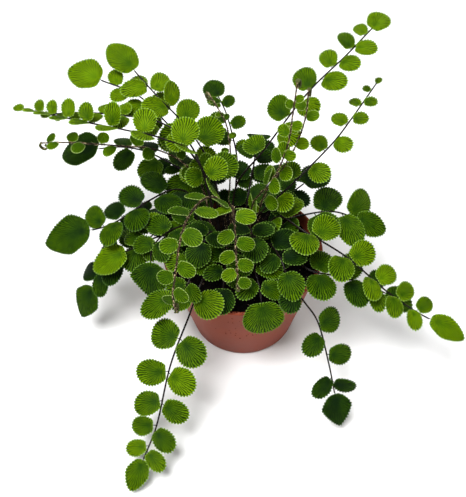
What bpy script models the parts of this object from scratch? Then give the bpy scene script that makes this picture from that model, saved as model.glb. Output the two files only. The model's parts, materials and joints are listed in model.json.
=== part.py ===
"""Button fern in a terracotta-coloured plastic pot.

The pot stands on z = 0 with its axis on Z, and is filled with potting mix. Each frond rises
from its own hole in the mix, arches outwards and carries pairs of round leaflets and, when
it is full grown, one larger leaflet at its tip. Young fronds end in a curled crozier.
A frond is one closed body: the stalk with its leaflets joined to it.

Lengths in this file are millimetres, and MM turns them into the scene's metres.
"""

import math
import random
from collections import namedtuple

import bmesh
import bpy
from mathutils import Matrix, Vector
from mathutils.bvhtree import BVHTree

MM = 0.001

# Pot
POT_HEIGHT = 72.0
RIM_RADIUS = 52.5
BASE_RADIUS = 35.0
WALL = 1.6
LIP_DEPTH = 3.0
LIP_STEP = 0.6
BASE_THICKNESS = 2.2
BASE_ROUND = 2.4
POT_STEPS = 32
DRAIN_COUNT = 4
DRAIN_RADIUS = 4.0
DRAIN_CIRCLE = 20.0

# Potting mix
SOIL_LEVEL = 64.0
SOIL_GAP = 0.35
SOIL_RINGS = 3
SOIL_STEPS = 22
SOIL_LUMP = 0.9

# Stalks
STALK_DEPTH = 6.0
STALK_STRAIGHT = 2.0
STALK_ROOT_RADIUS = 0.95
STALK_TIP_RADIUS = 0.7
HOLE_RADIUS = 1.6
HOLE_CLEARANCE = 0.4
PATH_STEP = 1.5
LONGEST_SEGMENT = 26.0
LARGEST_TURN = math.radians(23)
CURL_TURNS = 0.85
CURL_RADIUS = 2.9
CURL_STEPS = 7
CURL_SHRINK = 0.45
REACH_PULL = 0.4

# Leaflets
BLADE_THICKNESS = 0.65
OUTLINE_POINTS = 8
SMALL_OUTLINE_POINTS = 6
SMALL_LEAF = 15.0
ARCH = 0.06
SAG = 0.09
KITE_PINCH = 0.42
KITE_SHIFT = 0.45
CLEARANCE = 1.0
FLOOR_CLEARANCE = 4.0
NECK = 2.2
SPACING_RATIO = 0.84
LARGEST_AT = 0.35
FIRST_LOSS = 0.12
SIZE_SPREAD = 0.07
LEAN_FIRST = math.radians(80)
LEAN_LAST = math.radians(62)
LEAN_SPREAD = 0.12
TERMINAL_SINK = 1.6
FOLD_SPREAD = 8.0
LARGEST_ROLL = 12.0
MATURE_BREADTHS = (0.96, 0.70)
YOUNG_BREADTHS = (0.64, 0.84)
BREADTH_SPREAD = 0.04
LIGHT = Vector((0.0, -0.55, 1.0)).normalized()
LIGHT_PULL = 1.1
YOUNG_LIGHT_PULL = 0.2

DARK_GREEN = (0.012, 0.050, 0.008)
BRIGHT_GREEN = (0.110, 0.270, 0.014)
TERRACOTTA = (0.290, 0.082, 0.050)
SOIL_BROWN = (0.020, 0.014, 0.010)

# root: where the stalk leaves the mix (x, y). path: points that the stalk passes through.
# left, right: leaflets on that side as (count, first, last), places as shares of the stalk.
# leaf: length of the largest leaflet at the sides. taper: share by which the last ones are
# shorter. fold: degrees by which the sides are raised towards each other. terminal: length,
# width and kite of the leaflet at the tip. tone: how bright its green is.
Frond = namedtuple("Frond", "name root path left right leaf taper fold terminal tone")

MATURE = (
    Frond("frond_front_left", (-10, -9),
          ((-17, -21, 88), (-25, -41, 90), (-33, -57, 76), (-45, -76, 50), (-53, -104, 28),
           (-61, -122, 17)), (6, 0.39, 0.97), (6, 0.40, 0.95), 22, 0.28, 4, (23, 15, 0.5), 0.68),
    Frond("frond_front_right", (12, -10),
          ((18, -24, 84), (29, -41, 86), (38, -49, 79), (47, -54, 64), (54, -70, 43),
           (58, -82, 28)), (3, 0.64, 0.94), (3, 0.44, 0.92), 17.5, 0.05, 4, (25, 20, 0.8), 0.21),
    Frond("frond_right_long", (8, 1),
          ((21, 8, 94), (38, -9, 100), (65, -22, 90), (88, -34, 74), (108, -42, 62), (118, -46, 58)),
          (6, 0.27, 0.94), (6, 0.22, 0.92), 21, 0.28, 12, (28, 16, 0.5), 0.87),
    Frond("frond_right_low", (14, -4),
          ((23, -11, 84), (41, -27, 84), (59, -29, 80), (78, -30, 73), (90, -33, 68)),
          (4, 0.34, 0.90), (4, 0.34, 0.92), 20.5, 0.15, 4, (23, 17, 0.4), 0.54),
    Frond("frond_right_short", (13, 6),
          ((27, 11, 86), (43, 13, 92), (59, 13, 94), (73, 11, 90)),
          (3, 0.45, 0.93), (3, 0.40, 0.88), 25, 0.0, 8, (24, 18, 0.3), 0.4),
    Frond("frond_back_right_long", (-6, 10),
          ((-5, 30, 98), (14, 42, 122), (40, 57, 155), (64, 73, 172), (81, 91, 179)),
          (6, 0.41, 0.96), (5, 0.52, 0.90), 18.5, 0.3, 10, (17, 15, 0.1), 0.78),
    Frond("frond_back_right", (3, 6),
          ((9, 6, 96), (32, 16, 118), (55, 32, 135), (68, 47, 143), (87, 79, 146)),
          (5, 0.45, 0.94), (5, 0.36, 0.87), 14.5, 0.5, 4, (8, 4.5, 0.4), 0.91),
    Frond("frond_back_left_high", (-13, 14),
          ((-19, 36, 104), (-30, 48, 124), (-42, 59, 134), (-54, 67, 143), (-70, 83, 152)),
          (4, 0.42, 0.90), (5, 0.40, 0.86), 21, 0.12, 8, (28, 20, 0.4), 0.83),
    Frond("frond_back_left", (-17, 12),
          ((-24, 33, 100), (-36, 47, 118), (-51, 62, 128), (-68, 72, 141), (-92, 80, 147)),
          (5, 0.40, 0.87), (5, 0.42, 0.92), 17.5, 0.15, 4, (25, 24, 0.45), 1),
    Frond("frond_left_long", (-14, 7),
          ((-17, 13, 104), (-31, 20, 138), (-50, 24, 148), (-69, 26, 152), (-100, 35, 152),
           (-138, 51, 148)), (8, 0.30, 0.95), (8, 0.33, 0.93), 17.5, 0.5, 42, (9, 6, 0.3), 0.95),
    Frond("frond_left_upper", (-17.5, 1),
          ((-22, 15, 110), (-33, 36, 131), (-52, 47, 140), (-75, 49, 144), (-103, 52, 144),
           (-122, 50, 144)), (7, 0.36, 0.95), (7, 0.40, 0.92), 13.5, 0.4, 4, (7, 5, 0.3), 0.88),
    Frond("frond_left_dark", (-21, 14),
          ((-27, 37, 86), (-38, 48, 94), (-62, 59, 102), (-81, 64, 103), (-98, 68, 98)),
          (3, 0.43, 0.80), (4, 0.32, 0.84), 20, 0.1, -16, (34, 28, 0.5), 0.33),
    Frond("frond_left_low", (-24, 8),
          ((-33, 31, 86), (-45, 33, 94), (-62, 17, 99), (-79, 7, 93), (-88, 4, 90), (-97, 3, 87.5)),
          (4, 0.40, 0.86), (5, 0.34, 0.93), 20.5, 0.0, 14, (36, 29, 0.7), 0.29),
    Frond("frond_left_middle", (-25, 2),
          ((-31, 16, 84), (-47, 9, 92), (-61, -7, 89), (-74, -12, 84)),
          (3, 0.38, 0.82), (3, 0.42, 0.85), 18, 0.12, 4, (27, 19, 0.3), 0.69),
    Frond("frond_left_drooping", (-26, -4),
          ((-35, 4, 80), (-53, -1, 86), (-75, -3, 74), (-92, -5, 59), (-100, -11, 46)),
          (4, 0.36, 0.88), (4, 0.38, 0.91), 20, 0.05, 4, (28, 22, 0.8), 0.24),
    Frond("frond_left_arrow", (-20, -3),
          ((-28, 6, 88), (-41, -3, 97), (-52, -13, 98), (-57, -19, 92), (-57.5, -22, 87)),
          (3, 0.45, 0.84), (3, 0.50, 0.86), 17, 0.1, 4, (29, 27, 0.9), 0.36),
    Frond("frond_left_front", (-17, -9),
          ((-25, -11, 84), (-31, -27, 92), (-32, -38, 91), (-36, -45, 86), (-42, -47, 83)),
          (3, 0.45, 0.85), (3, 0.40, 0.84), 17, 0.12, 4, (26, 17, 0.2), 0.5),
    Frond("frond_front", (1, -7),
          ((4, -20, 92), (7, -35, 94), (10, -46, 90), (11, -50, 82)),
          (3, 0.45, 0.86), (3, 0.42, 0.82), 19, 0.1, 4, (27, 26, 0.1), 0.64),
    Frond("frond_back_dark", (-3, 21),
          ((-5, 33, 88), (-4, 57, 98), (-8, 77, 106), (-12, 90, 112), (-17, 101, 116)),
          (4, 0.50, 0.95), (4, 0.40, 0.92), 14.5, 0.25, 4, (17, 16, 0.3), 0.44),
    Frond("frond_back_right_dark", (10, 14),
          ((19, 24, 86), (31, 29, 94), (40, 36, 96)),
          (2, 0.50, 0.80), (2, 0.45, 0.78), 17.5, 0.1, 4, (24, 22, 0.3), 0.2),
    Frond("frond_back_low", (0, 17),
          ((3, 30, 88), (7, 50, 98), (9, 68, 99), (10, 78, 96)),
          (4, 0.40, 0.90), (4, 0.44, 0.86), 16, 0.2, 4, (18, 16, 0.2), 0.25),
    Frond("frond_back_left_dark", (-15, 22),
          ((-19, 34, 86), (-26, 46, 92), (-38, 55, 92), (-50, 60, 88)),
          (4, 0.40, 0.88), (4, 0.36, 0.84), 16, 0.15, 4, (19, 16, 0.3), 0.2),
    Frond("frond_left_inner", (-28, 10),
          ((-37, 18, 80), (-48, 24, 84), (-60, 24, 84), (-70, 21, 78)),
          (4, 0.36, 0.86), (3, 0.42, 0.84), 17.5, 0.1, 4, (20, 17, 0.3), 0.22),
    Frond("frond_inner_left", (-5, -9),
          ((-7, -14, 86), (-9, -24, 95), (-11, -35, 94), (-12, -44, 87)),
          (3, 0.44, 0.86), (3, 0.40, 0.82), 16.5, 0.1, 4, (18, 16, 0.3), 0.35),
    Frond("frond_inner_right", (7, -3),
          ((10, -8, 86), (16, -16, 96), (22, -27, 98), (26, -37, 94)),
          (3, 0.42, 0.86), (3, 0.38, 0.82), 18, 0.1, 4, (20, 17, 0.3), 0.4),
    Frond("frond_centre_left", (-13, -3),
          ((-15, -6, 86), (-18, -10, 100), (-21, -16, 106), (-24, -22, 104)),
          (3, 0.50, 0.88), (3, 0.46, 0.84), 17, 0.1, 4, (18, 16, 0.2), 0.3),
    Frond("frond_centre", (2, -2),
          ((3, -5, 86), (4, -9, 101), (5, -15, 108), (6, -22, 108)),
          (3, 0.50, 0.88), (3, 0.46, 0.84), 17, 0.1, 4, (18, 16, 0.2), 0.35),
    Frond("frond_back_drooping", (6, 19),
          ((11, 34, 84), (20, 50, 88), (30, 64, 80), (36, 72, 70)),
          (4, 0.36, 0.88), (4, 0.40, 0.86), 16, 0.15, 4, (18, 15, 0.4), 0.25),
)
YOUNG = (
    Frond("young_frond_left", (-20, 8),
          ((-26, 29, 98), (-38, 33, 118), (-55, 35, 128), (-77, 32, 134), (-108, 35, 134),
           (-127, 39, 130)), (5, 0.40, 0.93), (5, 0.45, 0.96), 12, 0.35, 8, None, 0.6),
    Frond("young_frond_right_upper", (6, 14),
          ((6, 10, 104), (18, 4, 132), (26, 8, 156), (29, 18, 174), (31, 28, 186)),
          (5, 0.30, 0.90), (5, 0.36, 0.93), 12, 0.5, 4, None, 0.6),
    Frond("young_frond_right_lower", (9, 9),
          ((12, 13, 104), (23, 13, 130), (32, 18, 148), (37, 26, 162), (39, 38, 172)),
          (5, 0.30, 0.92), (4, 0.40, 0.88), 12.5, 0.4, 4, None, 0.75),
    Frond("young_frond_back", (-8, 18),
          ((-9, 31, 90), (-8, 46, 108), (-10, 60, 122), (-14, 66, 130), (-22, 76, 138)),
          (4, 0.62, 0.95), (4, 0.58, 0.91), 6, 0.5, 4, None, 0.5),
    Frond("young_frond_front_left", (-10, 2),
          ((-13, -5, 120), (-22, -17, 138), (-30, -42, 150), (-34, -57, 148), (-37, -70, 134),
           (-39, -74, 120), (-38, -76, 108)), (5, 0.44, 0.90), (5, 0.48, 0.94), 14, 0.35, 4, None, 0.5),
    Frond("young_frond_front", (-4, -2),
          ((-6, -6, 108), (-6, -16, 130), (-5, -28, 130), (-4, -42, 117), (-3, -54, 101)),
          (5, 0.52, 0.96), (5, 0.48, 0.92), 13, 0.35, 4, None, 0.8),
)

# kite: 0 for an oval leaflet, 1 for one near a kite with blunt corners.
Leaf = namedtuple("Leaf", "base axis normal length width kite")
Growth = namedtuple("Growth", "frond young path leaves")


# Stalk paths

def spline(points, samples=12):
    """Points of a Catmull-Rom curve through all the given points, upright at its start."""
    first, second = points[:2]
    before = Vector((second.x, second.y, 2 * first.z - second.z))
    after = 2 * points[-1] - points[-2]
    knots = [before, *points, after]
    curve = []
    for a, b, c, d in zip(knots, knots[1:], knots[2:], knots[3:]):
        for k in range(samples):
            t = k / samples
            curve.append(0.5 * (2 * b + (c - a) * t + (2 * a - 5 * b + 4 * c - d) * t ** 2
                                + (3 * b - a - 3 * c + d) * t ** 3))
    curve.append(points[-1])
    return curve


def evenly(points, step):
    """The same line with its points one step apart."""
    lengths = [0.0]
    for a, b in zip(points, points[1:]):
        lengths.append(lengths[-1] + (b - a).length)
    count = max(2, round(lengths[-1] / step))
    line = []
    k = 0
    for i in range(count + 1):
        target = lengths[-1] * i / count
        while k < len(points) - 2 and lengths[k + 1] < target:
            k += 1
        share = (target - lengths[k]) / (lengths[k + 1] - lengths[k])
        line.append(points[k].lerp(points[k + 1], min(1.0, share)))
    return line


def stalk_path(frond):
    """The stalk's centre line, from its foot in the mix to its tip."""
    x, y = frond.root
    foot = Vector((x, y, SOIL_LEVEL - STALK_DEPTH))
    collar = Vector((x, y, SOIL_LEVEL + STALK_STRAIGHT))
    return evenly([foot, *spline([collar, *map(Vector, frond.path)])], PATH_STEP)


def sparse(path):
    """Fewer points of a path: none lies far from the last or turns much from it."""
    collar = round((STALK_DEPTH + STALK_STRAIGHT) / PATH_STEP)
    kept = [0, collar]
    for k in range(collar + 1, len(path) - 1):
        last = kept[-1]
        run = (path[k] - path[last]).length
        turn = (path[last + 1] - path[last]).angle(path[k + 1] - path[k])
        if run > LONGEST_SEGMENT or (turn > LARGEST_TURN and run > 2.5):
            kept.append(k)
    kept.append(len(path) - 1)
    return [path[k] for k in kept]


def onto(line, point):
    """The point of a broken line that lies nearest to the given point."""
    best = None
    for a, b in zip(line, line[1:]):
        share = (point - a).dot(b - a) / (b - a).length_squared
        near = a.lerp(b, min(1.0, max(0.0, share)))
        if best is None or (near - point).length < (best - point).length:
            best = near
    return best


def frame_at(frond, path, share):
    """Point, tangent and upper-face normal of the frond at a share of its length."""
    place = share * (len(path) - 1)
    k = min(int(place), len(path) - 2)
    point = path[k].lerp(path[k + 1], place - k)
    tangent = (path[min(k + 2, len(path) - 1)] - path[max(k - 1, 0)]).normalized()
    up = Vector((0, 0, 1))
    reach = path[-1] - path[0]
    ahead = Vector((reach.x, reach.y, 0)).normalized() * REACH_PULL + Vector((tangent.x, tangent.y, 0))
    side = ahead.cross(up).normalized()
    return point, tangent, side.cross(tangent).normalized()


def crozier(frond, path):
    """The curled tip of a young frond, a shrinking turn in the plane of its stalk."""
    tip, tangent, normal = frame_at(frond, path, 1.0)
    curl = []
    centre = tip - normal * CURL_RADIUS
    for k in range(1, CURL_STEPS + 1):
        angle = 2 * math.pi * CURL_TURNS * k / CURL_STEPS
        radius = CURL_RADIUS * (1 - CURL_SHRINK * k / CURL_STEPS)
        curl.append(centre + normal * radius * math.cos(angle) + tangent * radius * math.sin(angle))
    return curl


def stalk_line(frond, young, path):
    """The points that the stalk's tube is drawn through."""
    return sparse(path) + (crozier(frond, path) if young else [])


# Leaflet shape and placing

def edge_point(kite, angle):
    """A point of a leaflet's edge as (share of length, share of half width), turned from its base."""
    power = 1 / (1 - KITE_PINCH * kite)
    u = 0.5 - 0.5 * math.copysign(abs(math.cos(angle)) ** power, math.cos(angle))
    v = math.copysign(abs(math.sin(angle)) ** power, math.sin(angle))
    return u ** (1 + KITE_SHIFT * kite), v


def outline(leaf):
    """A few points of the leaflet's edge, round from its base."""
    count = SMALL_OUTLINE_POINTS if leaf.length < SMALL_LEAF else OUTLINE_POINTS
    return [edge_point(leaf.kite, 2 * math.pi * k / count) for k in range(count)]


def blade_point(leaf, u, v):
    """A point of the blade's middle surface, arched along its length."""
    across = leaf.normal.cross(leaf.axis)
    height = leaf.length * (4 * ARCH * u * (1 - u) - SAG * u * u)
    return leaf.base + leaf.axis * leaf.length * u + across * leaf.width / 2 * v + leaf.normal * height


def middle_surface(leaf, neck=0.0):
    """The blade as flat strips from side to side, without its first `neck` mm: (points, faces)."""
    points = [blade_point(leaf, u, v) for u, v in outline(leaf)]
    points[0] = points[0] + leaf.axis * neck
    count = len(points)
    half = count // 2
    faces = [(0, 1, count - 1)]
    faces += [(k, k + 1, count - k - 1, count - k) for k in range(1, half - 1)]
    faces.append((half - 1, half, half + 1))
    return points, faces


def middle(points):
    return sum(points, Vector()) / len(points)


def keep_clear_body(leaf, neck=0.0):
    """The space that a leaflet keeps to itself, a closed body round its blade."""
    points, faces = middle_surface(leaf, neck)
    centre = middle(points)
    count = len(points)
    grown = [p + (p - centre).normalized() * CLEARANCE for p in points]
    lift = leaf.normal * CLEARANCE
    body = [p + lift for p in grown] + [p - lift for p in grown]
    skin = list(faces)
    skin += [tuple(k + count for k in reversed(face)) for face in faces]
    for k in range(count):
        n = (k + 1) % count
        skin.append((n, k, k + count, n + count))
    return body, skin


def stalk_skin(path, radius):
    """A square tube round a stalk's centre line, for clearance tests."""
    points = []
    for k, p in enumerate(path):
        ahead = (path[min(k + 1, len(path) - 1)] - path[max(k - 1, 0)]).normalized()
        side = ahead.orthogonal().normalized()
        up = ahead.cross(side)
        points += [p + side * radius, p + up * radius, p - side * radius, p - up * radius]
    faces = []
    for k in range(len(path) - 1):
        for j in range(4):
            a = 4 * k + j
            b = 4 * k + (j + 1) % 4
            faces += [(a, b, a + 4), (b, b + 4, a + 4)]
    return points, faces


def pot_profile():
    """Half section of the pot wall as (radius, height), from the inside floor to the foot."""
    slope = (RIM_RADIUS - LIP_STEP - BASE_RADIUS) / POT_HEIGHT
    wall_top = BASE_RADIUS + slope * (POT_HEIGHT - LIP_DEPTH)
    inner_foot = BASE_RADIUS + slope * BASE_THICKNESS - WALL
    inner_top = RIM_RADIUS - LIP_STEP - WALL
    bend = [(BASE_RADIUS - BASE_ROUND * (1 - math.sin(a)), BASE_ROUND * (1 - math.cos(a)))
            for a in (math.radians(60), math.radians(30), 0.0)]
    return [(0.0, BASE_THICKNESS), (inner_foot, BASE_THICKNESS), (inner_top, POT_HEIGHT - 0.6),
            (inner_top + 0.6, POT_HEIGHT), (RIM_RADIUS - 0.7, POT_HEIGHT),
            (RIM_RADIUS, POT_HEIGHT - 0.8), (RIM_RADIUS - 0.2, POT_HEIGHT - LIP_DEPTH + 0.7),
            (wall_top, POT_HEIGHT - LIP_DEPTH), (BASE_RADIUS + slope * BASE_ROUND, BASE_ROUND),
            *bend, (0.0, 0.0)]


def soil_radius(height):
    """Radius of the mix at a height, just inside the pot wall."""
    slope = (RIM_RADIUS - LIP_STEP - BASE_RADIUS) / POT_HEIGHT
    return BASE_RADIUS + slope * height - WALL - SOIL_GAP


def pot_skin(steps=28):
    """The pot wall and the level of the mix as triangles, for clearance tests."""
    profile = [(0.0, SOIL_LEVEL + SOIL_LUMP), (soil_radius(SOIL_LEVEL), SOIL_LEVEL + SOIL_LUMP)]
    profile += pot_profile()[2:-1]
    points = [Vector((r * math.cos(2 * math.pi * j / steps), r * math.sin(2 * math.pi * j / steps), z))
              for r, z in profile for j in range(steps)]
    faces = []
    for i in range(len(profile) - 1):
        for j in range(steps):
            a = i * steps + j
            b = i * steps + (j + 1) % steps
            faces += [(a, b, a + steps), (b, b + steps, a + steps)]
    return points, faces


def turned(leaf, tangent, pitch, roll, share):
    """The leaflet pitched about its stalk, rolled about its own axis, and made smaller."""
    spin = Matrix.Rotation(math.radians(pitch), 3, tangent)
    axis = spin @ leaf.axis
    normal = spin @ leaf.normal
    normal.rotate(Matrix.Rotation(math.radians(roll), 3, axis))
    return leaf._replace(axis=axis, normal=normal, length=leaf.length * share, width=leaf.width * share)


# Ways to turn a leaflet that would touch another: pitch, roll and share of its size.
TURNS = [(0, 0, 1.0)]
for reach in (9, 18, 27, 36, 46):
    for pitch, roll in ((1, 0), (-1, 0), (0.3, 1.4), (-0.3, -1.4), (0.8, -0.9), (-0.8, 0.9)):
        TURNS.append((pitch * reach, roll * reach, 1.0 - 0.003 * reach))
for size in (0.85, 0.72, 0.6):
    for pitch, roll in ((0, 0), (20, 0), (-20, 0), (10, 30), (-10, -30),
                        (38, 0), (-38, 0), (52, 0), (-52, 0)):
        TURNS.append((pitch, roll, size))


class Space:
    """What has grown so far, so that the next leaflet can be set clear of it."""

    def __init__(self):
        self.stalks = {}
        self.leaves = []
        self.pot = BVHTree.FromPolygons(*pot_skin())

    def is_free(self, leaf, owner):
        body, skin = keep_clear_body(leaf)
        if min(p.z for p in body) < FLOOR_CLEARANCE:
            return False
        shape = BVHTree.FromPolygons(body, skin)
        if shape.overlap(self.pot):
            return False
        if any(name != owner and shape.overlap(tube) for name, tube in self.stalks.items()):
            return False
        necked = BVHTree.FromPolygons(*keep_clear_body(leaf, NECK))
        centre = middle(body)
        for other_owner, other_centre, size, whole, beyond_neck in self.leaves:
            if (other_centre - centre).length > (size + leaf.length) * 0.6 + 2 * CLEARANCE:
                continue
            if other_owner == owner:
                if necked.overlap(beyond_neck):
                    return False
            elif shape.overlap(whole):
                return False
        return True

    def add(self, leaf, owner):
        points, faces = middle_surface(leaf)
        whole = BVHTree.FromPolygons(points, faces)
        beyond_neck = BVHTree.FromPolygons(*middle_surface(leaf, NECK))
        self.leaves.append((owner, middle(points), leaf.length, whole, beyond_neck))


def size_share(place, taper):
    """Size of a leaflet by its place along the leafy stretch, from 0 to 1."""
    if place < LARGEST_AT:
        return 1 - FIRST_LOSS * (1 - place / LARGEST_AT) ** 2
    return 1 - taper * ((place - LARGEST_AT) / (1 - LARGEST_AT)) ** 1.5


def side_places(count, first, last):
    """Places of one side's leaflets, each spacing a little shorter than the one before."""
    gaps = [SPACING_RATIO ** k for k in range(count - 1)]
    total = sum(gaps)
    return [first + (last - first) * sum(gaps[:k]) / total for k in range(count)]


def toward_light(normal, axis, pull):
    """The upper-face normal of a leaflet on this axis once it has turned to the light."""
    wanted = normal + LIGHT * pull
    return (wanted - axis * wanted.dot(axis)).normalized()


def leaf_wishes(frond, path):
    """The frond's leaflets as they would grow with nothing in their way: (leaf, tangent)."""
    draw = random.Random(frond.name)
    line = sparse(path)
    wishes = []
    near, far = MATURE_BREADTHS if frond.terminal else YOUNG_BREADTHS
    pull = LIGHT_PULL if frond.terminal else YOUNG_LIGHT_PULL
    if frond.terminal:
        sink = TERMINAL_SINK / (PATH_STEP * (len(path) - 1))
        point, tangent, normal = frame_at(frond, path, 1 - sink)
        point = onto(line, point)
        face = toward_light(normal, tangent, pull)
        wishes.append((Leaf(point, tangent, face, *frond.terminal), tangent))
    places = [(share, 1) for share in side_places(*frond.left)]
    places += [(share, -1) for share in side_places(*frond.right)]
    first = min(frond.left[1], frond.right[1])
    last = max(frond.left[2], frond.right[2])
    for share, hand in sorted(places):
        place = (share - first) / (last - first)
        point, tangent, normal = frame_at(frond, path, share)
        point = onto(line, point)
        side = tangent.cross(normal) * -hand
        lean = LEAN_FIRST + (LEAN_LAST - LEAN_FIRST) * place + draw.uniform(-LEAN_SPREAD, LEAN_SPREAD)
        axis = (tangent * math.cos(lean) + side * math.sin(lean)).normalized()
        length = frond.leaf * size_share(place, frond.taper) * draw.uniform(1 - SIZE_SPREAD, 1 + SIZE_SPREAD)
        breadth = near + (far - near) * place + draw.uniform(-BREADTH_SPREAD, BREADTH_SPREAD)
        leaf = Leaf(point, axis, toward_light(normal, axis, pull), length, length * breadth, 0.0)
        pitch = hand * (frond.fold + draw.uniform(-FOLD_SPREAD, FOLD_SPREAD))
        roll = draw.uniform(-LARGEST_ROLL, LARGEST_ROLL)
        wishes.append((turned(leaf, tangent, pitch, roll, 1.0), tangent))
    return wishes


def grow():
    """Every frond with its stalk and the leaflets that it finds room for."""
    space = Space()
    plans = [(frond, False, stalk_path(frond)) for frond in MATURE]
    plans += [(frond, True, stalk_path(frond)) for frond in YOUNG]
    for frond, young, path in plans:
        line = stalk_line(frond, young, path)
        space.stalks[frond.name] = BVHTree.FromPolygons(*stalk_skin(line, STALK_ROOT_RADIUS))
    grown = []
    for frond, young, path in plans:
        leaves = []
        for leaf, tangent in leaf_wishes(frond, path):
            for turn in TURNS:
                trial = turned(leaf, tangent, *turn)
                if space.is_free(trial, frond.name):
                    space.add(trial, frond.name)
                    leaves.append(trial)
                    break
        grown.append(Growth(frond, young, path, leaves))
    return grown


# Solids

def clear_scene():
    for obj in list(bpy.data.objects):
        bpy.data.objects.remove(obj)


def finish(obj, colour, roughness):
    """The object's own material, in place of any that it has."""
    made = bpy.data.materials.new(obj.name + "_finish")
    made.use_nodes = True
    surface = made.node_tree.nodes["Principled BSDF"]
    surface.inputs["Base Color"].default_value = (*colour, 1.0)
    surface.inputs["Roughness"].default_value = roughness
    surface.inputs["Metallic"].default_value = 0.0
    obj.data.materials.clear()
    obj.data.materials.append(made)


def place_on(base, obj, x, y, z):
    """Give the object its origin at a point, and the empty `base` as its parent."""
    point = Vector((x, y, z)) * MM
    obj.data.transform(Matrix.Translation(-point))
    obj.location = point
    obj.parent = base


def collection(name):
    made = bpy.data.collections.new(name)
    bpy.context.scene.collection.children.link(made)
    return made


def mesh_object(name, points, faces, home):
    mesh = bpy.data.meshes.new(name)
    mesh.from_pydata([p * MM for p in points], [], faces)
    mesh.validate()
    obj = bpy.data.objects.new(name, mesh)
    home.objects.link(obj)
    return obj


def apply_modifiers(obj):
    """The object's evaluated mesh in place of its modifiers."""
    graph = bpy.context.evaluated_depsgraph_get()
    mesh = bpy.data.meshes.new_from_object(obj.evaluated_get(graph))
    obj.modifiers.clear()
    obj.data = mesh
    return obj


def boolean(obj, operation, others):
    cut = obj.modifiers.new(operation.lower(), "BOOLEAN")
    cut.operation = operation
    cut.operand_type = "COLLECTION"
    cut.collection = others
    cut.solver = "EXACT"
    apply_modifiers(obj)
    for other in list(others.objects):
        bpy.data.objects.remove(other)
    bpy.data.collections.remove(others)


def lathe(name, profile, steps, home):
    points = [Vector((r, 0, z)) for r, z in profile]
    obj = mesh_object(name, points, [], home)
    edges = bmesh.new()
    edges.from_mesh(obj.data)
    edges.verts.ensure_lookup_table()
    for a, b in zip(edges.verts[:-1], edges.verts[1:]):
        edges.edges.new((a, b))
    edges.to_mesh(obj.data)
    edges.free()
    screw = obj.modifiers.new("turn", "SCREW")
    screw.steps = steps
    screw.render_steps = steps
    screw.use_merge_vertices = True
    screw.merge_threshold = 1e-5
    return apply_modifiers(obj)


def cylinder(name, centre, radius, depth, sides, home):
    mesh = bpy.data.meshes.new(name)
    shape = bmesh.new()
    bmesh.ops.create_cone(shape, cap_ends=True, segments=sides, radius1=radius * MM,
                          radius2=radius * MM, depth=depth * MM)
    shape.to_mesh(mesh)
    shape.free()
    obj = bpy.data.objects.new(name, mesh)
    obj.location = Vector(centre) * MM
    home.objects.link(obj)
    return obj


def make_pot(home, base):
    """Tapered plastic pot with a narrow lip and drain holes in its floor."""
    pot = lathe("pot", pot_profile(), POT_STEPS, home)
    drills = collection("drain_drills")
    for k in range(DRAIN_COUNT):
        angle = 2 * math.pi * (k + 0.5) / DRAIN_COUNT
        centre = (DRAIN_CIRCLE * math.cos(angle), DRAIN_CIRCLE * math.sin(angle), 0)
        cylinder(f"drill_{k}", centre, DRAIN_RADIUS, 4 * BASE_THICKNESS, 10, drills)
    boolean(pot, "DIFFERENCE", drills)
    pot.data.shade_smooth()
    pot.data.set_sharp_from_angle(angle=math.radians(35))
    finish(pot, TERRACOTTA, 0.5)
    place_on(base, pot, 0, 0, 0)


def soil_height(x, y):
    """The lumpy top of the mix."""
    lumps = (math.sin(0.31 * x + 0.8) * math.cos(0.27 * y - 0.5)
             + 0.6 * math.sin(0.53 * x - 0.41 * y + 2.1))
    return SOIL_LEVEL + SOIL_LUMP * lumps / 1.6


def make_soil(grown, home, base):
    """Potting mix that fills the pot, with a plain hole for each stalk."""
    floor = BASE_THICKNESS + SOIL_GAP
    top = soil_radius(SOIL_LEVEL)
    profile = [(top * ring / SOIL_RINGS, SOIL_LEVEL) for ring in range(SOIL_RINGS + 1)]
    profile += [(soil_radius(floor), floor), (0.0, floor)]
    soil = lathe("potting_mix", profile, SOIL_STEPS, home)
    for vert in soil.data.vertices:
        x, y, z = vert.co / MM
        if z > SOIL_LEVEL - 1 and math.hypot(x, y) < top - 1:
            vert.co.z = soil_height(x, y) * MM
    holes = collection("stalk_holes")
    low_end = SOIL_LEVEL - STALK_DEPTH - HOLE_CLEARANCE
    high_end = SOIL_LEVEL + 3 * SOIL_LUMP
    for growth in grown:
        x, y = growth.frond.root
        centre = (x, y, (low_end + high_end) / 2)
        cylinder("hole_" + growth.frond.name, centre, HOLE_RADIUS, high_end - low_end, 5, holes)
    boolean(soil, "DIFFERENCE", holes)
    finish(soil, SOIL_BROWN, 0.95)
    place_on(base, soil, 0, 0, floor)


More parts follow.
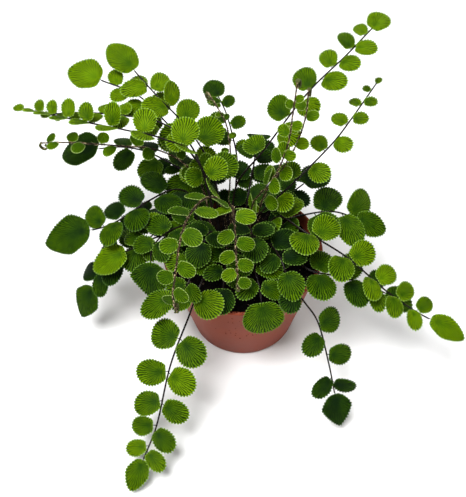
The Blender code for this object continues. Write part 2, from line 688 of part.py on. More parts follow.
def stalk_object(growth, home):
    """The stalk as a tube that thins towards its tip."""
    points = stalk_line(growth.frond, growth.young, growth.path)
    curve = bpy.data.curves.new(growth.frond.name, "CURVE")
    curve.dimensions = "3D"
    curve.bevel_depth = MM
    curve.bevel_resolution = 0
    curve.use_fill_caps = True
    line = curve.splines.new("POLY")
    line.points.add(len(points) - 1)
    for k, p in enumerate(points):
        share = k / (len(points) - 1)
        line.points[k].co = (*(p * MM), 1)
        line.points[k].radius = STALK_ROOT_RADIUS + (STALK_TIP_RADIUS - STALK_ROOT_RADIUS) * share
    tube = bpy.data.objects.new("tube", curve)
    home.objects.link(tube)
    graph = bpy.context.evaluated_depsgraph_get()
    mesh = bpy.data.meshes.new_from_object(tube.evaluated_get(graph))
    bpy.data.objects.remove(tube)
    shape = bmesh.new()
    shape.from_mesh(mesh)
    bmesh.ops.remove_doubles(shape, verts=shape.verts, dist=1e-6)
    bmesh.ops.recalc_face_normals(shape, faces=shape.faces)
    shape.to_mesh(mesh)
    shape.free()
    mesh.materials.clear()
    stalk = bpy.data.objects.new(growth.frond.name, mesh)
    home.objects.link(stalk)
    return stalk


def leaf_object(name, leaf, home):
    """One blade, a domed fan made as thick as a leathery leaflet."""
    obj = mesh_object(name, *middle_surface(leaf), home)
    solid = obj.modifiers.new("thickness", "SOLIDIFY")
    solid.thickness = BLADE_THICKNESS * MM
    solid.offset = 0
    solid.use_even_offset = False
    return obj


def make_frond(growth, home, base):
    """One frond: its leaflets joined to its stalk."""
    frond = stalk_object(growth, home)
    blades = collection(growth.frond.name + "_blades")
    for k, leaf in enumerate(growth.leaves):
        leaf_object(f"blade_{k}", leaf, blades)
    boolean(frond, "UNION", blades)
    tone = growth.frond.tone
    green = [d + (b - d) * tone for d, b in zip(DARK_GREEN, BRIGHT_GREEN)]
    finish(frond, green, 0.45)
    place_on(base, frond, *growth.frond.root, SOIL_LEVEL)


def main():
    clear_scene()
    fern = collection("potted_button_fern")
    base = bpy.data.objects.new("fern_base", None)
    fern.objects.link(base)
    grown = grow()
    make_pot(fern, base)
    make_soil(grown, fern, base)
    for growth in grown:
        make_frond(growth, fern, base)
    bpy.context.view_layer.update()


if __name__ == "__main__":
    main()
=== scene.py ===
"""Looks of the potted button fern: veined leaflets, wiry stalks, potting mix and plastic pot.

The fronds grow here by the same rules as in the part's source, so each fine leaflet lies where
its plain blade lies. Lengths are millimetres, and MM turns them into the scene's metres.
"""

import json
import random
from collections import namedtuple
from math import copysign, cos, hypot, pi, radians, sin, sqrt, tau

import bmesh
import bpy
import numpy as np
from mathutils import Matrix, Vector, noise
from mathutils.bvhtree import BVHTree


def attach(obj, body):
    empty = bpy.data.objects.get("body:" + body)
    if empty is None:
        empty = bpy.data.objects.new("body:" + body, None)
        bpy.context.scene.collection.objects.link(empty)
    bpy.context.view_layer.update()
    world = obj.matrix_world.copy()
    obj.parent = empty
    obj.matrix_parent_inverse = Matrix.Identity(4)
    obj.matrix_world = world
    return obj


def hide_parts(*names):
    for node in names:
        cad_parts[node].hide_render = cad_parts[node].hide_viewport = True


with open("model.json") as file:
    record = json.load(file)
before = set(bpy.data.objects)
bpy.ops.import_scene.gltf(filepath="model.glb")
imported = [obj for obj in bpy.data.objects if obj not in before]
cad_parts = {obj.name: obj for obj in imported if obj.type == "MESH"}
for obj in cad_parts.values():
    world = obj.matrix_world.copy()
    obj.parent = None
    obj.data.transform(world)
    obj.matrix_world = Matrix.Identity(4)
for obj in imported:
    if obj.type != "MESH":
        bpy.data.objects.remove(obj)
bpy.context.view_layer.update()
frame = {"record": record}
frame_slots = {row["node"]: row["material_slot"] for row in frame["record"]["subparts"]}

MM = 0.001

# Pot
POT_HEIGHT = 72.0
RIM_RADIUS = 52.5
BASE_RADIUS = 35.0
WALL = 1.6
LIP_DEPTH = 3.0
LIP_STEP = 0.6
BASE_THICKNESS = 2.2
BASE_ROUND = 2.4
DRAIN_COUNT = 4
DRAIN_RADIUS = 4.0
DRAIN_CIRCLE = 20.0
SLOPE = (RIM_RADIUS - LIP_STEP - BASE_RADIUS) / POT_HEIGHT
TEST_STEPS = 28

# Potting mix
SOIL_LEVEL = 64.0
SOIL_GAP = 0.35
SOIL_LUMP = 0.9

# Stalks
STALK_DEPTH = 6.0
STALK_STRAIGHT = 2.0
STALK_ROOT_RADIUS = 0.95
PATH_STEP = 1.5
CURVE_SAMPLES = 12
SHORTEST_SEGMENT = 2.5
LONGEST_SEGMENT = 26.0
LARGEST_TURN = radians(23)
CURL_TURNS = 0.85
CURL_RADIUS = 2.9
CURL_STEPS = 7
CURL_SHRINK = 0.45
REACH_PULL = 0.4

# Leaflets
OUTLINE_POINTS = 8
SMALL_OUTLINE_POINTS = 6
SMALL_LEAF = 15.0
ARCH = 0.06
SAG = 0.09
KITE_PINCH = 0.42
KITE_SHIFT = 0.45
CLEARANCE = 1.0
FLOOR_CLEARANCE = 4.0
NEAR_SHARE = 0.6
NECK = 2.2
SPACING_RATIO = 0.84
LARGEST_AT = 0.35
FIRST_LOSS = 0.12
SIZE_SPREAD = 0.07
LEAN_FIRST = radians(80)
LEAN_LAST = radians(62)
LEAN_SPREAD = 0.12
TERMINAL_SINK = 1.6
FOLD_SPREAD = 8.0
LARGEST_ROLL = 12.0
BREADTH_SPREAD = 0.04
LIGHT = Vector((0.0, -0.55, 1.0)).normalized()

# Breadth of the first and the last side leaflets by their length, and pull to the light
MATURE_LEAFLETS = (0.96, 0.70, 1.1)
YOUNG_LEAFLETS = (0.64, 0.84, 0.2)

# Finer pot and mix. The specks lie round the pot's front, given in degrees from +X.
FINE_POT_STEPS = 144
SHARP_EDGE = radians(25)
EDGE_ROUND = 0.4
FINE_SOIL_RINGS = 44
FINE_SOIL_STEPS = 150
SOIL_EDGE = 2.5
CLOD = 0.75
CRUMB = 0.45
CRUMB_COUNT = 620
FINE_CRUMBS = 0.8
FINE_CRUMB_SIZES = (0.35, 0.75)
CRUMB_SIZES = (0.8, 1.4)
PALE_SHARE = 0.3
SPECK_COUNT = 90
SPECK_SIZES = (0.25, 0.6)
FRONT = 265
RIM_SPREAD = 30
WALL_SPREAD = 16

# Finer stalks. Scales are given by shortest, longest and width, and by how many a step has.
STALK_SIDES = 8
STUB_SIDES = 5
STALK_RADII = (0.66, 0.5)
YOUNG_STALK_RADII = (0.5, 0.42)
STUB_RADIUS = 0.28
STUB_REACH = 0.12
STUB_RISE = 0.02
FINE_CURL_STEPS = 30
BUD_SIZE = 0.95
BUD_SHRINK = 0.4
FIRST_SCALE = 6
FOOT_END = 14
YOUNG_SCALE = (1.1, 2.5, 0.65)
OLD_SCALE = (0.7, 1.5, 0.45)
CURL_SCALES = 0.5
YOUNG_SCALES = (2.2, 1.8)
FOOT_SCALES = 0.6
OLD_SCALES = 0.1

# Fine blades. Shares of a leaflet's length: start, hub, middle. Turns from its base in radians.
FINE_THICKNESS = 0.5
EDGE_THICKNESS = 0.3
BLADE_START = 0.09
HUB_SHARE = 0.13
BLADE_MIDDLE = 0.53
RING_SHARES = (0.26, 0.52, 0.78)
UNDER_SHARES = (0.55, 0.93, 1.0)
MARGIN_BAND = 0.6
EDGE_SAMPLES = 241
SKEW = 0.07
LOBE = 0.055
KITE_LOBE_LOSS = 0.05
LOBE_TURN = 0.62
LOBE_SPREAD = 0.33
DROOPS = (-0.02, 0.045)
RIPPLES = (0.08, 0.22)
RIB = 0.16
RIB_SPREAD = 1.1

# Teeth and the pleats behind them
TOOTH_POINTS = 3
FEWEST_TEETH = 9
TOOTH_PITCH = 1.5
PITCH_GROWTH = 0.022
LARGE_LEAF = 24.0
MATURE_TEETH = 0.92
YOUNG_TEETH = 0.14
NOTCH = -0.65
CREST = 0.35
TOOTH_JITTER = 0.16
TEETH_TURN = 0.45
TEETH_EASE = 0.5
PLEAT = 0.2
PLEAT_FROM = 0.3
PLEAT_EASE = 1.8

# Painted shade: leaflets near the middle of the plant get a darker green, for the shade that falls among the
# fronds there
PAINTED_SHADE_REACH = 56.0
PAINTED_SHADE_DARKENING = 0.42

# Greens of full-grown and of young leaflets, by tone
GREENS = [(0.0, (0.0030, 0.0125, 0.0018)), (0.25, (0.0090, 0.0305, 0.0014)), (0.5, (0.0200, 0.0560, 0.0006)),
          (0.75, (0.041, 0.097, 0.0006)), (1.0, (0.077, 0.158, 0.0008))]
YOUNG_GREENS = [(0.0, (0.015, 0.043, 0.0006)), (0.5, (0.030, 0.078, 0.0006)),
                (0.8, (0.052, 0.118, 0.0006)), (1.0, (0.078, 0.158, 0.0010))]
LEAF_SHINE = 0.03

# Camera
FOCAL_PIXELS = 838
PICTURE_HEIGHT = 497
RIM_RIGHT_OF_MIDDLE = 10.0
RIM_BELOW_MIDDLE = 0.5
CAMERA_ELEVATION = radians(50)
CAMERA_DISTANCE = 550.0
SENSOR = 36.0

# Lamps in metres and watts (name, place, size, power), walls and floor
LAMPS = (("key_light", (-0.35, -0.45, 1.5), 0.8, 38.0),
         ("fill_light", (0.8, -0.9, 1.0), 1.0, 6.0),
         ("back_light", (0.2, 1.1, 0.9), 0.8, 6.0))
LAMP_AIM = (0, 0, 0.09)
WALL_TOP = 0.25
WALL_LIGHT = 0.5
CEILING_FROM = 0.55
CEILING_LIGHT = 0.10
FLOOR_RADIUS = 1100.0
FLOOR_SIDES = 128

# root: where the stalk leaves the mix (x, y). path: points that the stalk passes through.
# left, right: leaflets on that side as (count, first, last), places as shares of the stalk.
# leaf: length of the largest leaflet at the sides. taper: share by which the last ones are
# shorter. fold: degrees by which the sides are raised towards each other. terminal: length,
# width and kite of the leaflet at the tip, none on a young frond. tone: how bright its green is,
# partly the frond's own green and partly painted shade on fronds that lie deep in the plant.
Frond = namedtuple("Frond", "name root path left right leaf taper fold terminal tone")
FRONDS = [Frond(*row) for row in (
    ("frond_front_left", (-10, -9), ((-17, -21, 88), (-25, -41, 90), (-33, -57, 76), (-45, -76, 50),
     (-53, -104, 28), (-61, -122, 17)), (6, 0.39, 0.97), (6, 0.4, 0.95), 22, 0.28, 4, (23, 15, 0.5),
     0.68),
    ("frond_front_right", (12, -10), ((18, -24, 84), (29, -41, 86), (38, -49, 79), (47, -54, 64),
     (54, -70, 43), (58, -82, 28)), (3, 0.64, 0.94), (3, 0.44, 0.92), 17.5, 0.05, 4, (25, 20, 0.8), 0.21),
    ("frond_right_long", (8, 1), ((21, 8, 94), (38, -9, 100), (65, -22, 90), (88, -34, 74),
     (108, -42, 62), (118, -46, 58)), (6, 0.27, 0.94), (6, 0.22, 0.92), 21, 0.28, 12, (28, 16, 0.5),
     0.87),
    ("frond_right_low", (14, -4), ((23, -11, 84), (41, -27, 84), (59, -29, 80), (78, -30, 73),
     (90, -33, 68)), (4, 0.34, 0.9), (4, 0.34, 0.92), 20.5, 0.15, 4, (23, 17, 0.4), 0.54),
    ("frond_right_short", (13, 6), ((27, 11, 86), (43, 13, 92), (59, 13, 94), (73, 11, 90)),
     (3, 0.45, 0.93), (3, 0.4, 0.88), 25, 0.0, 8, (24, 18, 0.3), 0.4),
    ("frond_back_right_long", (-6, 10), ((-5, 30, 98), (14, 42, 122), (40, 57, 155), (64, 73, 172),
     (81, 91, 179)), (6, 0.41, 0.96), (5, 0.52, 0.9), 18.5, 0.3, 10, (17, 15, 0.1), 0.78),
    ("frond_back_right", (3, 6), ((9, 6, 96), (32, 16, 118), (55, 32, 135), (68, 47, 143), (87, 79, 146)),
     (5, 0.45, 0.94), (5, 0.36, 0.87), 14.5, 0.5, 4, (8, 4.5, 0.4), 0.91),
    ("frond_back_left_high", (-13, 14), ((-19, 36, 104), (-30, 48, 124), (-42, 59, 134), (-54, 67, 143),
     (-70, 83, 152)), (4, 0.42, 0.9), (5, 0.4, 0.86), 21, 0.12, 8, (28, 20, 0.4), 0.83),
    ("frond_back_left", (-17, 12), ((-24, 33, 100), (-36, 47, 118), (-51, 62, 128), (-68, 72, 141),
     (-92, 80, 147)), (5, 0.4, 0.87), (5, 0.42, 0.92), 17.5, 0.15, 4, (25, 24, 0.45), 1),
    ("frond_left_long", (-14, 7), ((-17, 13, 104), (-31, 20, 138), (-50, 24, 148), (-69, 26, 152),
     (-100, 35, 152), (-138, 51, 148)), (8, 0.3, 0.95), (8, 0.33, 0.93), 17.5, 0.5, 42, (9, 6, 0.3),
     0.95),
    ("frond_left_upper", (-17.5, 1), ((-22, 15, 110), (-33, 36, 131), (-52, 47, 140), (-75, 49, 144),
     (-103, 52, 144), (-122, 50, 144)), (7, 0.36, 0.95), (7, 0.4, 0.92), 13.5, 0.4, 4, (7, 5, 0.3), 0.88),
    ("frond_left_dark", (-21, 14), ((-27, 37, 86), (-38, 48, 94), (-62, 59, 102), (-81, 64, 103),
     (-98, 68, 98)), (3, 0.43, 0.8), (4, 0.32, 0.84), 20, 0.1, -16, (34, 28, 0.5), 0.33),
    ("frond_left_low", (-24, 8), ((-33, 31, 86), (-45, 33, 94), (-62, 17, 99), (-79, 7, 93), (-88, 4, 90),
     (-97, 3, 87.5)), (4, 0.4, 0.86), (5, 0.34, 0.93), 20.5, 0.0, 14, (36, 29, 0.7), 0.29),
    ("frond_left_middle", (-25, 2), ((-31, 16, 84), (-47, 9, 92), (-61, -7, 89), (-74, -12, 84)),
     (3, 0.38, 0.82), (3, 0.42, 0.85), 18, 0.12, 4, (27, 19, 0.3), 0.69),
    ("frond_left_drooping", (-26, -4), ((-35, 4, 80), (-53, -1, 86), (-75, -3, 74), (-92, -5, 59),
     (-100, -11, 46)), (4, 0.36, 0.88), (4, 0.38, 0.91), 20, 0.05, 4, (28, 22, 0.8), 0.24),
    ("frond_left_arrow", (-20, -3), ((-28, 6, 88), (-41, -3, 97), (-52, -13, 98), (-57, -19, 92),
     (-57.5, -22, 87)), (3, 0.45, 0.84), (3, 0.5, 0.86), 17, 0.1, 4, (29, 27, 0.9), 0.36),
    ("frond_left_front", (-17, -9), ((-25, -11, 84), (-31, -27, 92), (-32, -38, 91), (-36, -45, 86),
     (-42, -47, 83)), (3, 0.45, 0.85), (3, 0.4, 0.84), 17, 0.12, 4, (26, 17, 0.2), 0.5),
    ("frond_front", (1, -7), ((4, -20, 92), (7, -35, 94), (10, -46, 90), (11, -50, 82)), (3, 0.45, 0.86),
     (3, 0.42, 0.82), 19, 0.1, 4, (27, 26, 0.1), 0.64),
    ("frond_back_dark", (-3, 21), ((-5, 33, 88), (-4, 57, 98), (-8, 77, 106), (-12, 90, 112),
     (-17, 101, 116)), (4, 0.5, 0.95), (4, 0.4, 0.92), 14.5, 0.25, 4, (17, 16, 0.3), 0.44),
    ("frond_back_right_dark", (10, 14), ((19, 24, 86), (31, 29, 94), (40, 36, 96)), (2, 0.5, 0.8),
     (2, 0.45, 0.78), 17.5, 0.1, 4, (24, 22, 0.3), 0.2),
    ("frond_back_low", (0, 17), ((3, 30, 88), (7, 50, 98), (9, 68, 99), (10, 78, 96)), (4, 0.4, 0.9),
     (4, 0.44, 0.86), 16, 0.2, 4, (18, 16, 0.2), 0.25),
    ("frond_back_left_dark", (-15, 22), ((-19, 34, 86), (-26, 46, 92), (-38, 55, 92), (-50, 60, 88)),
     (4, 0.4, 0.88), (4, 0.36, 0.84), 16, 0.15, 4, (19, 16, 0.3), 0.2),
    ("frond_left_inner", (-28, 10), ((-37, 18, 80), (-48, 24, 84), (-60, 24, 84), (-70, 21, 78)),
     (4, 0.36, 0.86), (3, 0.42, 0.84), 17.5, 0.1, 4, (20, 17, 0.3), 0.22),
    ("frond_inner_left", (-5, -9), ((-7, -14, 86), (-9, -24, 95), (-11, -35, 94), (-12, -44, 87)),
     (3, 0.44, 0.86), (3, 0.4, 0.82), 16.5, 0.1, 4, (18, 16, 0.3), 0.35),
    ("frond_inner_right", (7, -3), ((10, -8, 86), (16, -16, 96), (22, -27, 98), (26, -37, 94)),
     (3, 0.42, 0.86), (3, 0.38, 0.82), 18, 0.1, 4, (20, 17, 0.3), 0.4),
    ("frond_centre_left", (-13, -3), ((-15, -6, 86), (-18, -10, 100), (-21, -16, 106), (-24, -22, 104)),
     (3, 0.5, 0.88), (3, 0.46, 0.84), 17, 0.1, 4, (18, 16, 0.2), 0.3),
    ("frond_centre", (2, -2), ((3, -5, 86), (4, -9, 101), (5, -15, 108), (6, -22, 108)), (3, 0.5, 0.88),
     (3, 0.46, 0.84), 17, 0.1, 4, (18, 16, 0.2), 0.35),
    ("frond_back_drooping", (6, 19), ((11, 34, 84), (20, 50, 88), (30, 64, 80), (36, 72, 70)),
     (4, 0.36, 0.88), (4, 0.4, 0.86), 16, 0.15, 4, (18, 15, 0.4), 0.25),
    ("young_frond_left", (-20, 8), ((-26, 29, 98), (-38, 33, 118), (-55, 35, 128), (-77, 32, 134),
     (-108, 35, 134), (-127, 39, 130)), (5, 0.4, 0.93), (5, 0.45, 0.96), 12, 0.35, 8, None, 0.6),
    ("young_frond_right_upper", (6, 14), ((6, 10, 104), (18, 4, 132), (26, 8, 156), (29, 18, 174),
     (31, 28, 186)), (5, 0.3, 0.9), (5, 0.36, 0.93), 12, 0.5, 4, None, 0.6),
    ("young_frond_right_lower", (9, 9), ((12, 13, 104), (23, 13, 130), (32, 18, 148), (37, 26, 162),
     (39, 38, 172)), (5, 0.3, 0.92), (4, 0.4, 0.88), 12.5, 0.4, 4, None, 0.75),
    ("young_frond_back", (-8, 18), ((-9, 31, 90), (-8, 46, 108), (-10, 60, 122), (-14, 66, 130),
     (-22, 76, 138)), (4, 0.62, 0.95), (4, 0.58, 0.91), 6, 0.5, 4, None, 0.5),
    ("young_frond_front_left", (-10, 2), ((-13, -5, 120), (-22, -17, 138), (-30, -42, 150),
     (-34, -57, 148), (-37, -70, 134), (-39, -74, 120), (-38, -76, 108)), (5, 0.44, 0.9), (5, 0.48, 0.94),
     14, 0.35, 4, None, 0.5),
    ("young_frond_front", (-4, -2), ((-6, -6, 108), (-6, -16, 130), (-5, -28, 130), (-4, -42, 117),
     (-3, -54, 101)), (5, 0.52, 0.96), (5, 0.48, 0.92), 13, 0.35, 4, None, 0.8),
)]

# kite: 0 for an oval leaflet, 1 for one near a kite with blunt corners.
Leaf = namedtuple("Leaf", "base axis normal length width kite")
Growth = namedtuple("Growth", "frond young path leaves")


# Stalk paths

def spline(points):
    """A Catmull-Rom curve through the given points, upright at its start."""
    first, second = points[:2]
    before = Vector((second.x, second.y, 2 * first.z - second.z))
    after = 2 * points[-1] - points[-2]
    knots = [before, *points, after]
    curve = []
    for a, b, c, d in zip(knots, knots[1:], knots[2:], knots[3:]):
        for k in range(CURVE_SAMPLES):
            t = k / CURVE_SAMPLES
            curve.append(0.5 * (2 * b + (c - a) * t + (2 * a - 5 * b + 4 * c - d) * t ** 2
                                + (3 * b - a - 3 * c + d) * t ** 3))
    return [*curve, points[-1]]


def evenly(points):
    """The same line with its points PATH_STEP apart."""
    lengths = [0.0]
    for a, b in zip(points, points[1:]):
        lengths.append(lengths[-1] + (b - a).length)
    count = max(2, round(lengths[-1] / PATH_STEP))
    line = []
    k = 0
    for i in range(count + 1):
        target = lengths[-1] * i / count
        while k < len(points) - 2 and lengths[k + 1] < target:
            k += 1
        share = (target - lengths[k]) / (lengths[k + 1] - lengths[k])
        line.append(points[k].lerp(points[k + 1], min(1.0, share)))
    return line


def stalk_path(frond):
    """The stalk's centre line, from its foot in the mix to its tip."""
    foot = Vector((*frond.root, SOIL_LEVEL - STALK_DEPTH))
    collar = Vector((*frond.root, SOIL_LEVEL + STALK_STRAIGHT))
    return evenly([foot, *spline([collar, *map(Vector, frond.path)])])


def sparse(path):
    """Fewer points of a path, with no long step and no sharp turn between them."""
    collar = round((STALK_DEPTH + STALK_STRAIGHT) / PATH_STEP)
    kept = [0, collar]
    for k in range(collar + 1, len(path) - 1):
        last = kept[-1]
        run = (path[k] - path[last]).length
        turn = (path[last + 1] - path[last]).angle(path[k + 1] - path[k])
        if run > LONGEST_SEGMENT or (turn > LARGEST_TURN and run > SHORTEST_SEGMENT):
            kept.append(k)
    kept.append(len(path) - 1)
    return [path[k] for k in kept]


def onto(line, point):
    """The nearest point of a broken line."""
    best = None
    for a, b in zip(line, line[1:]):
        share = (point - a).dot(b - a) / (b - a).length_squared
        near = a.lerp(b, min(1.0, max(0.0, share)))
        if best is None or (near - point).length < (best - point).length:
            best = near
    return best


def heading(line, first, last):
    """Direction from one point of a line to another, both kept within its ends."""
    return (line[min(last, len(line) - 1)] - line[max(first, 0)]).normalized()


def frame_at(path, share):
    """Point, tangent and upper-face normal of a frond at a share of its length."""
    place = share * (len(path) - 1)
    k = min(int(place), len(path) - 2)
    point = path[k].lerp(path[k + 1], place - k)
    tangent = heading(path, k - 1, k + 2)
    reach = path[-1] - path[0]
    ahead = Vector((reach.x, reach.y, 0)).normalized() * REACH_PULL + Vector((tangent.x, tangent.y, 0))
    side = ahead.cross(Vector((0, 0, 1))).normalized()
    return point, tangent, side.cross(tangent).normalized()


def crozier(path, steps):
    """The curled tip of a young frond, a shrinking turn in the plane of its stalk."""
    tip, tangent, normal = frame_at(path, 1.0)
    curl = []
    centre = tip - normal * CURL_RADIUS
    for k in range(1, steps + 1):
        angle = tau * CURL_TURNS * k / steps
        radius = CURL_RADIUS * (1 - CURL_SHRINK * k / steps)
        curl.append(centre + normal * radius * cos(angle) + tangent * radius * sin(angle))
    return curl


# Shapes that repeat

tree = BVHTree.FromPolygons


def middle(points):
    return sum(points, Vector()) / len(points)


def circle(radius, z, steps):
    """Points round the Z axis, from +X towards +Y."""
    return [(radius * cos(tau * j / steps), radius * sin(tau * j / steps), z)
            for j in range(steps)]


def quads(rings, sides):
    """Faces between rings of points that follow one another."""
    starts = [(i * sides + j, i * sides + (j + 1) % sides) for i in range(rings - 1) for j in range(sides)]
    return [(a, b, b + sides, a + sides) for a, b in starts]


def halves(faces):
    """Quads as triangles, for clearance tests."""
    return [half for a, b, c, d in faces for half in ((a, b, d), (b, c, d))]


def ball(subdivisions):
    """Points and faces of a ball of radius 1."""
    shape = bmesh.new()
    bmesh.ops.create_icosphere(shape, subdivisions=subdivisions, radius=1.0)
    points = [v.co.copy() for v in shape.verts]
    faces = [[v.index for v in face.verts] for face in shape.faces]
    shape.free()
    return points, faces


# Leaflet shape and placing

def edge_point(kite, angle):
    """A point of a leaflet's edge as shares of length and half width, by its turn from the base."""
    power = 1 / (1 - KITE_PINCH * kite)
    u = 0.5 - 0.5 * copysign(abs(cos(angle)) ** power, cos(angle))
    v = copysign(abs(sin(angle)) ** power, sin(angle))
    return u ** (1 + KITE_SHIFT * kite), v


def arch(leaf, u):
    """Height of the blade's middle surface at a share of its length."""
    return leaf.length * (4 * ARCH * u * (1 - u) - SAG * u * u)


def blade_point(leaf, u, v):
    """A point of the blade's middle surface."""
    across = leaf.normal.cross(leaf.axis)
    return (leaf.base + leaf.axis * leaf.length * u + across * leaf.width / 2 * v
            + leaf.normal * arch(leaf, u))


def middle_surface(leaf, neck=0.0):
    """Points and faces of the blade in flat strips, without its first `neck` mm."""
    count = SMALL_OUTLINE_POINTS if leaf.length < SMALL_LEAF else OUTLINE_POINTS
    points = [blade_point(leaf, *edge_point(leaf.kite, tau * k / count)) for k in range(count)]
    points[0] = points[0] + leaf.axis * neck
    half = count // 2
    faces = [(0, 1, count - 1)]
    faces += [(k, k + 1, count - k - 1, count - k) for k in range(1, half - 1)]
    faces.append((half - 1, half, half + 1))
    return points, faces


def keep_clear_body(leaf, neck=0.0):
    """The closed body round a blade that a leaflet keeps to itself."""
    points, faces = middle_surface(leaf, neck)
    centre = middle(points)
    count = len(points)
    grown = [p + (p - centre).normalized() * CLEARANCE for p in points]
    lift = leaf.normal * CLEARANCE
    body = [p + lift for p in grown] + [p - lift for p in grown]
    skin = faces + [tuple(k + count for k in reversed(face)) for face in faces]
    skin += [(b, a, d, c) for a, b, c, d in quads(2, count)]
    return body, skin


def stalk_skin(path):
    """A square tube round a stalk's centre line, for clearance tests."""
    points = []
    for k, p in enumerate(path):
        ahead = heading(path, k - 1, k + 1)
        side = ahead.orthogonal().normalized() * STALK_ROOT_RADIUS
        up = ahead.cross(side)
        points += [p + side, p + up, p - side, p - up]
    return points, halves(quads(len(path), 4))


def pot_profile():
    """The pot wall as (radius, height), from the inside floor to the foot."""
    wall_top = BASE_RADIUS + SLOPE * (POT_HEIGHT - LIP_DEPTH)
    inner_foot = BASE_RADIUS + SLOPE * BASE_THICKNESS - WALL
    inner_top = RIM_RADIUS - LIP_STEP - WALL
    bend = [(BASE_RADIUS - BASE_ROUND * (1 - sin(a)), BASE_ROUND * (1 - cos(a)))
            for a in (radians(60), radians(30), 0.0)]
    return [(0.0, BASE_THICKNESS), (inner_foot, BASE_THICKNESS), (inner_top, POT_HEIGHT - 0.6),
            (inner_top + 0.6, POT_HEIGHT), (RIM_RADIUS - 0.7, POT_HEIGHT),
            (RIM_RADIUS, POT_HEIGHT - 0.8), (RIM_RADIUS - 0.2, POT_HEIGHT - LIP_DEPTH + 0.7),
            (wall_top, POT_HEIGHT - LIP_DEPTH), (BASE_RADIUS + SLOPE * BASE_ROUND, BASE_ROUND),
            *bend, (0.0, 0.0)]


def soil_radius(height):
    """Radius of the mix at a height, just inside the pot wall."""
    return BASE_RADIUS + SLOPE * height - WALL - SOIL_GAP


def pot_skin():
    """The pot and the level of the mix, for clearance tests."""
    profile = [(0.0, SOIL_LEVEL + SOIL_LUMP), (soil_radius(SOIL_LEVEL), SOIL_LEVEL + SOIL_LUMP)]
    profile += pot_profile()[2:-1]
    points = [Vector(spot) for r, z in profile for spot in circle(r, z, TEST_STEPS)]
    return points, halves(quads(len(profile), TEST_STEPS))


def turned(leaf, tangent, pitch, roll, share):
    """The leaflet pitched about its stalk, rolled about its own axis, and made smaller."""
    spin = Matrix.Rotation(radians(pitch), 3, tangent)
    axis = spin @ leaf.axis
    normal = spin @ leaf.normal
    normal.rotate(Matrix.Rotation(radians(roll), 3, axis))
    return leaf._replace(axis=axis, normal=normal, length=leaf.length * share, width=leaf.width * share)


# Ways to turn a leaflet that would touch another: pitch, roll and share of its size.
TURNS = [(0, 0, 1.0)]
for reach in (9, 18, 27, 36, 46):
    for pitch, roll in ((1, 0), (-1, 0), (0.3, 1.4), (-0.3, -1.4), (0.8, -0.9), (-0.8, 0.9)):
        TURNS.append((pitch * reach, roll * reach, 1.0 - 0.003 * reach))
for size in (0.85, 0.72, 0.6):
    for pitch, roll in ((0, 0), (20, 0), (-20, 0), (10, 30), (-10, -30),
                        (38, 0), (-38, 0), (52, 0), (-52, 0)):
        TURNS.append((pitch, roll, size))


class Space:
    """What has grown so far, so that the next leaflet can be set clear of it."""

    def __init__(self):
        self.stalks = {}
        self.leaves = []
        self.pot = tree(*pot_skin())

    def is_free(self, leaf, owner):
        body, skin = keep_clear_body(leaf)
        shape = tree(body, skin)
        if min(p.z for p in body) < FLOOR_CLEARANCE or shape.overlap(self.pot):
            return False
        if any(name != owner and shape.overlap(tube) for name, tube in self.stalks.items()):
            return False
        necked = tree(*keep_clear_body(leaf, NECK))
        centre = middle(body)
        for other, other_centre, size, whole, beyond_neck in self.leaves:
            if (other_centre - centre).length > (size + leaf.length) * NEAR_SHARE + 2 * CLEARANCE:
                continue
            if necked.overlap(beyond_neck) if other == owner else shape.overlap(whole):
                return False
        return True

    def add(self, leaf, owner):
        points, faces = middle_surface(leaf)
        beyond_neck = tree(*middle_surface(leaf, NECK))
        self.leaves.append((owner, middle(points), leaf.length, tree(points, faces), beyond_neck))


def size_share(place, taper):
    """Size of a leaflet by its place along the leafy stretch, from 0 to 1."""
    if place < LARGEST_AT:
        return 1 - FIRST_LOSS * (1 - place / LARGEST_AT) ** 2
    return 1 - taper * ((place - LARGEST_AT) / (1 - LARGEST_AT)) ** 1.5


def side_places(count, first, last):
    """Places of one side's leaflets, closer together towards the tip."""
    gaps = [SPACING_RATIO ** k for k in range(count - 1)]
    total = sum(gaps)
    return [first + (last - first) * sum(gaps[:k]) / total for k in range(count)]


def toward_light(normal, axis, pull):
    """The upper-face normal on this axis once it has turned to the light."""
    wanted = normal + LIGHT * pull
    return (wanted - axis * wanted.dot(axis)).normalized()


def leaf_wishes(frond, path):
    """The leaflets with nothing in their way, each with the stalk's tangent."""
    draw = random.Random(frond.name)
    line = sparse(path)
    wishes = []
    near, far, pull = MATURE_LEAFLETS if frond.terminal else YOUNG_LEAFLETS
    if frond.terminal:
        sink = TERMINAL_SINK / (PATH_STEP * (len(path) - 1))
        point, tangent, normal = frame_at(path, 1 - sink)
        face = toward_light(normal, tangent, pull)
        wishes.append((Leaf(onto(line, point), tangent, face, *frond.terminal), tangent))
    places = [(share, 1) for share in side_places(*frond.left)]
    places += [(share, -1) for share in side_places(*frond.right)]
    first = min(frond.left[1], frond.right[1])
    last = max(frond.left[2], frond.right[2])
    for share, hand in sorted(places):
        place = (share - first) / (last - first)
        point, tangent, normal = frame_at(path, share)
        side = tangent.cross(normal) * -hand
        lean = LEAN_FIRST + (LEAN_LAST - LEAN_FIRST) * place + draw.uniform(-LEAN_SPREAD, LEAN_SPREAD)
        axis = (tangent * cos(lean) + side * sin(lean)).normalized()
        length = frond.leaf * size_share(place, frond.taper) * draw.uniform(1 - SIZE_SPREAD, 1 + SIZE_SPREAD)
        width = length * (near + (far - near) * place + draw.uniform(-BREADTH_SPREAD, BREADTH_SPREAD))
        leaf = Leaf(onto(line, point), axis, toward_light(normal, axis, pull), length, width, 0.0)
        pitch = hand * (frond.fold + draw.uniform(-FOLD_SPREAD, FOLD_SPREAD))
        roll = draw.uniform(-LARGEST_ROLL, LARGEST_ROLL)
        wishes.append((turned(leaf, tangent, pitch, roll, 1.0), tangent))
    return wishes


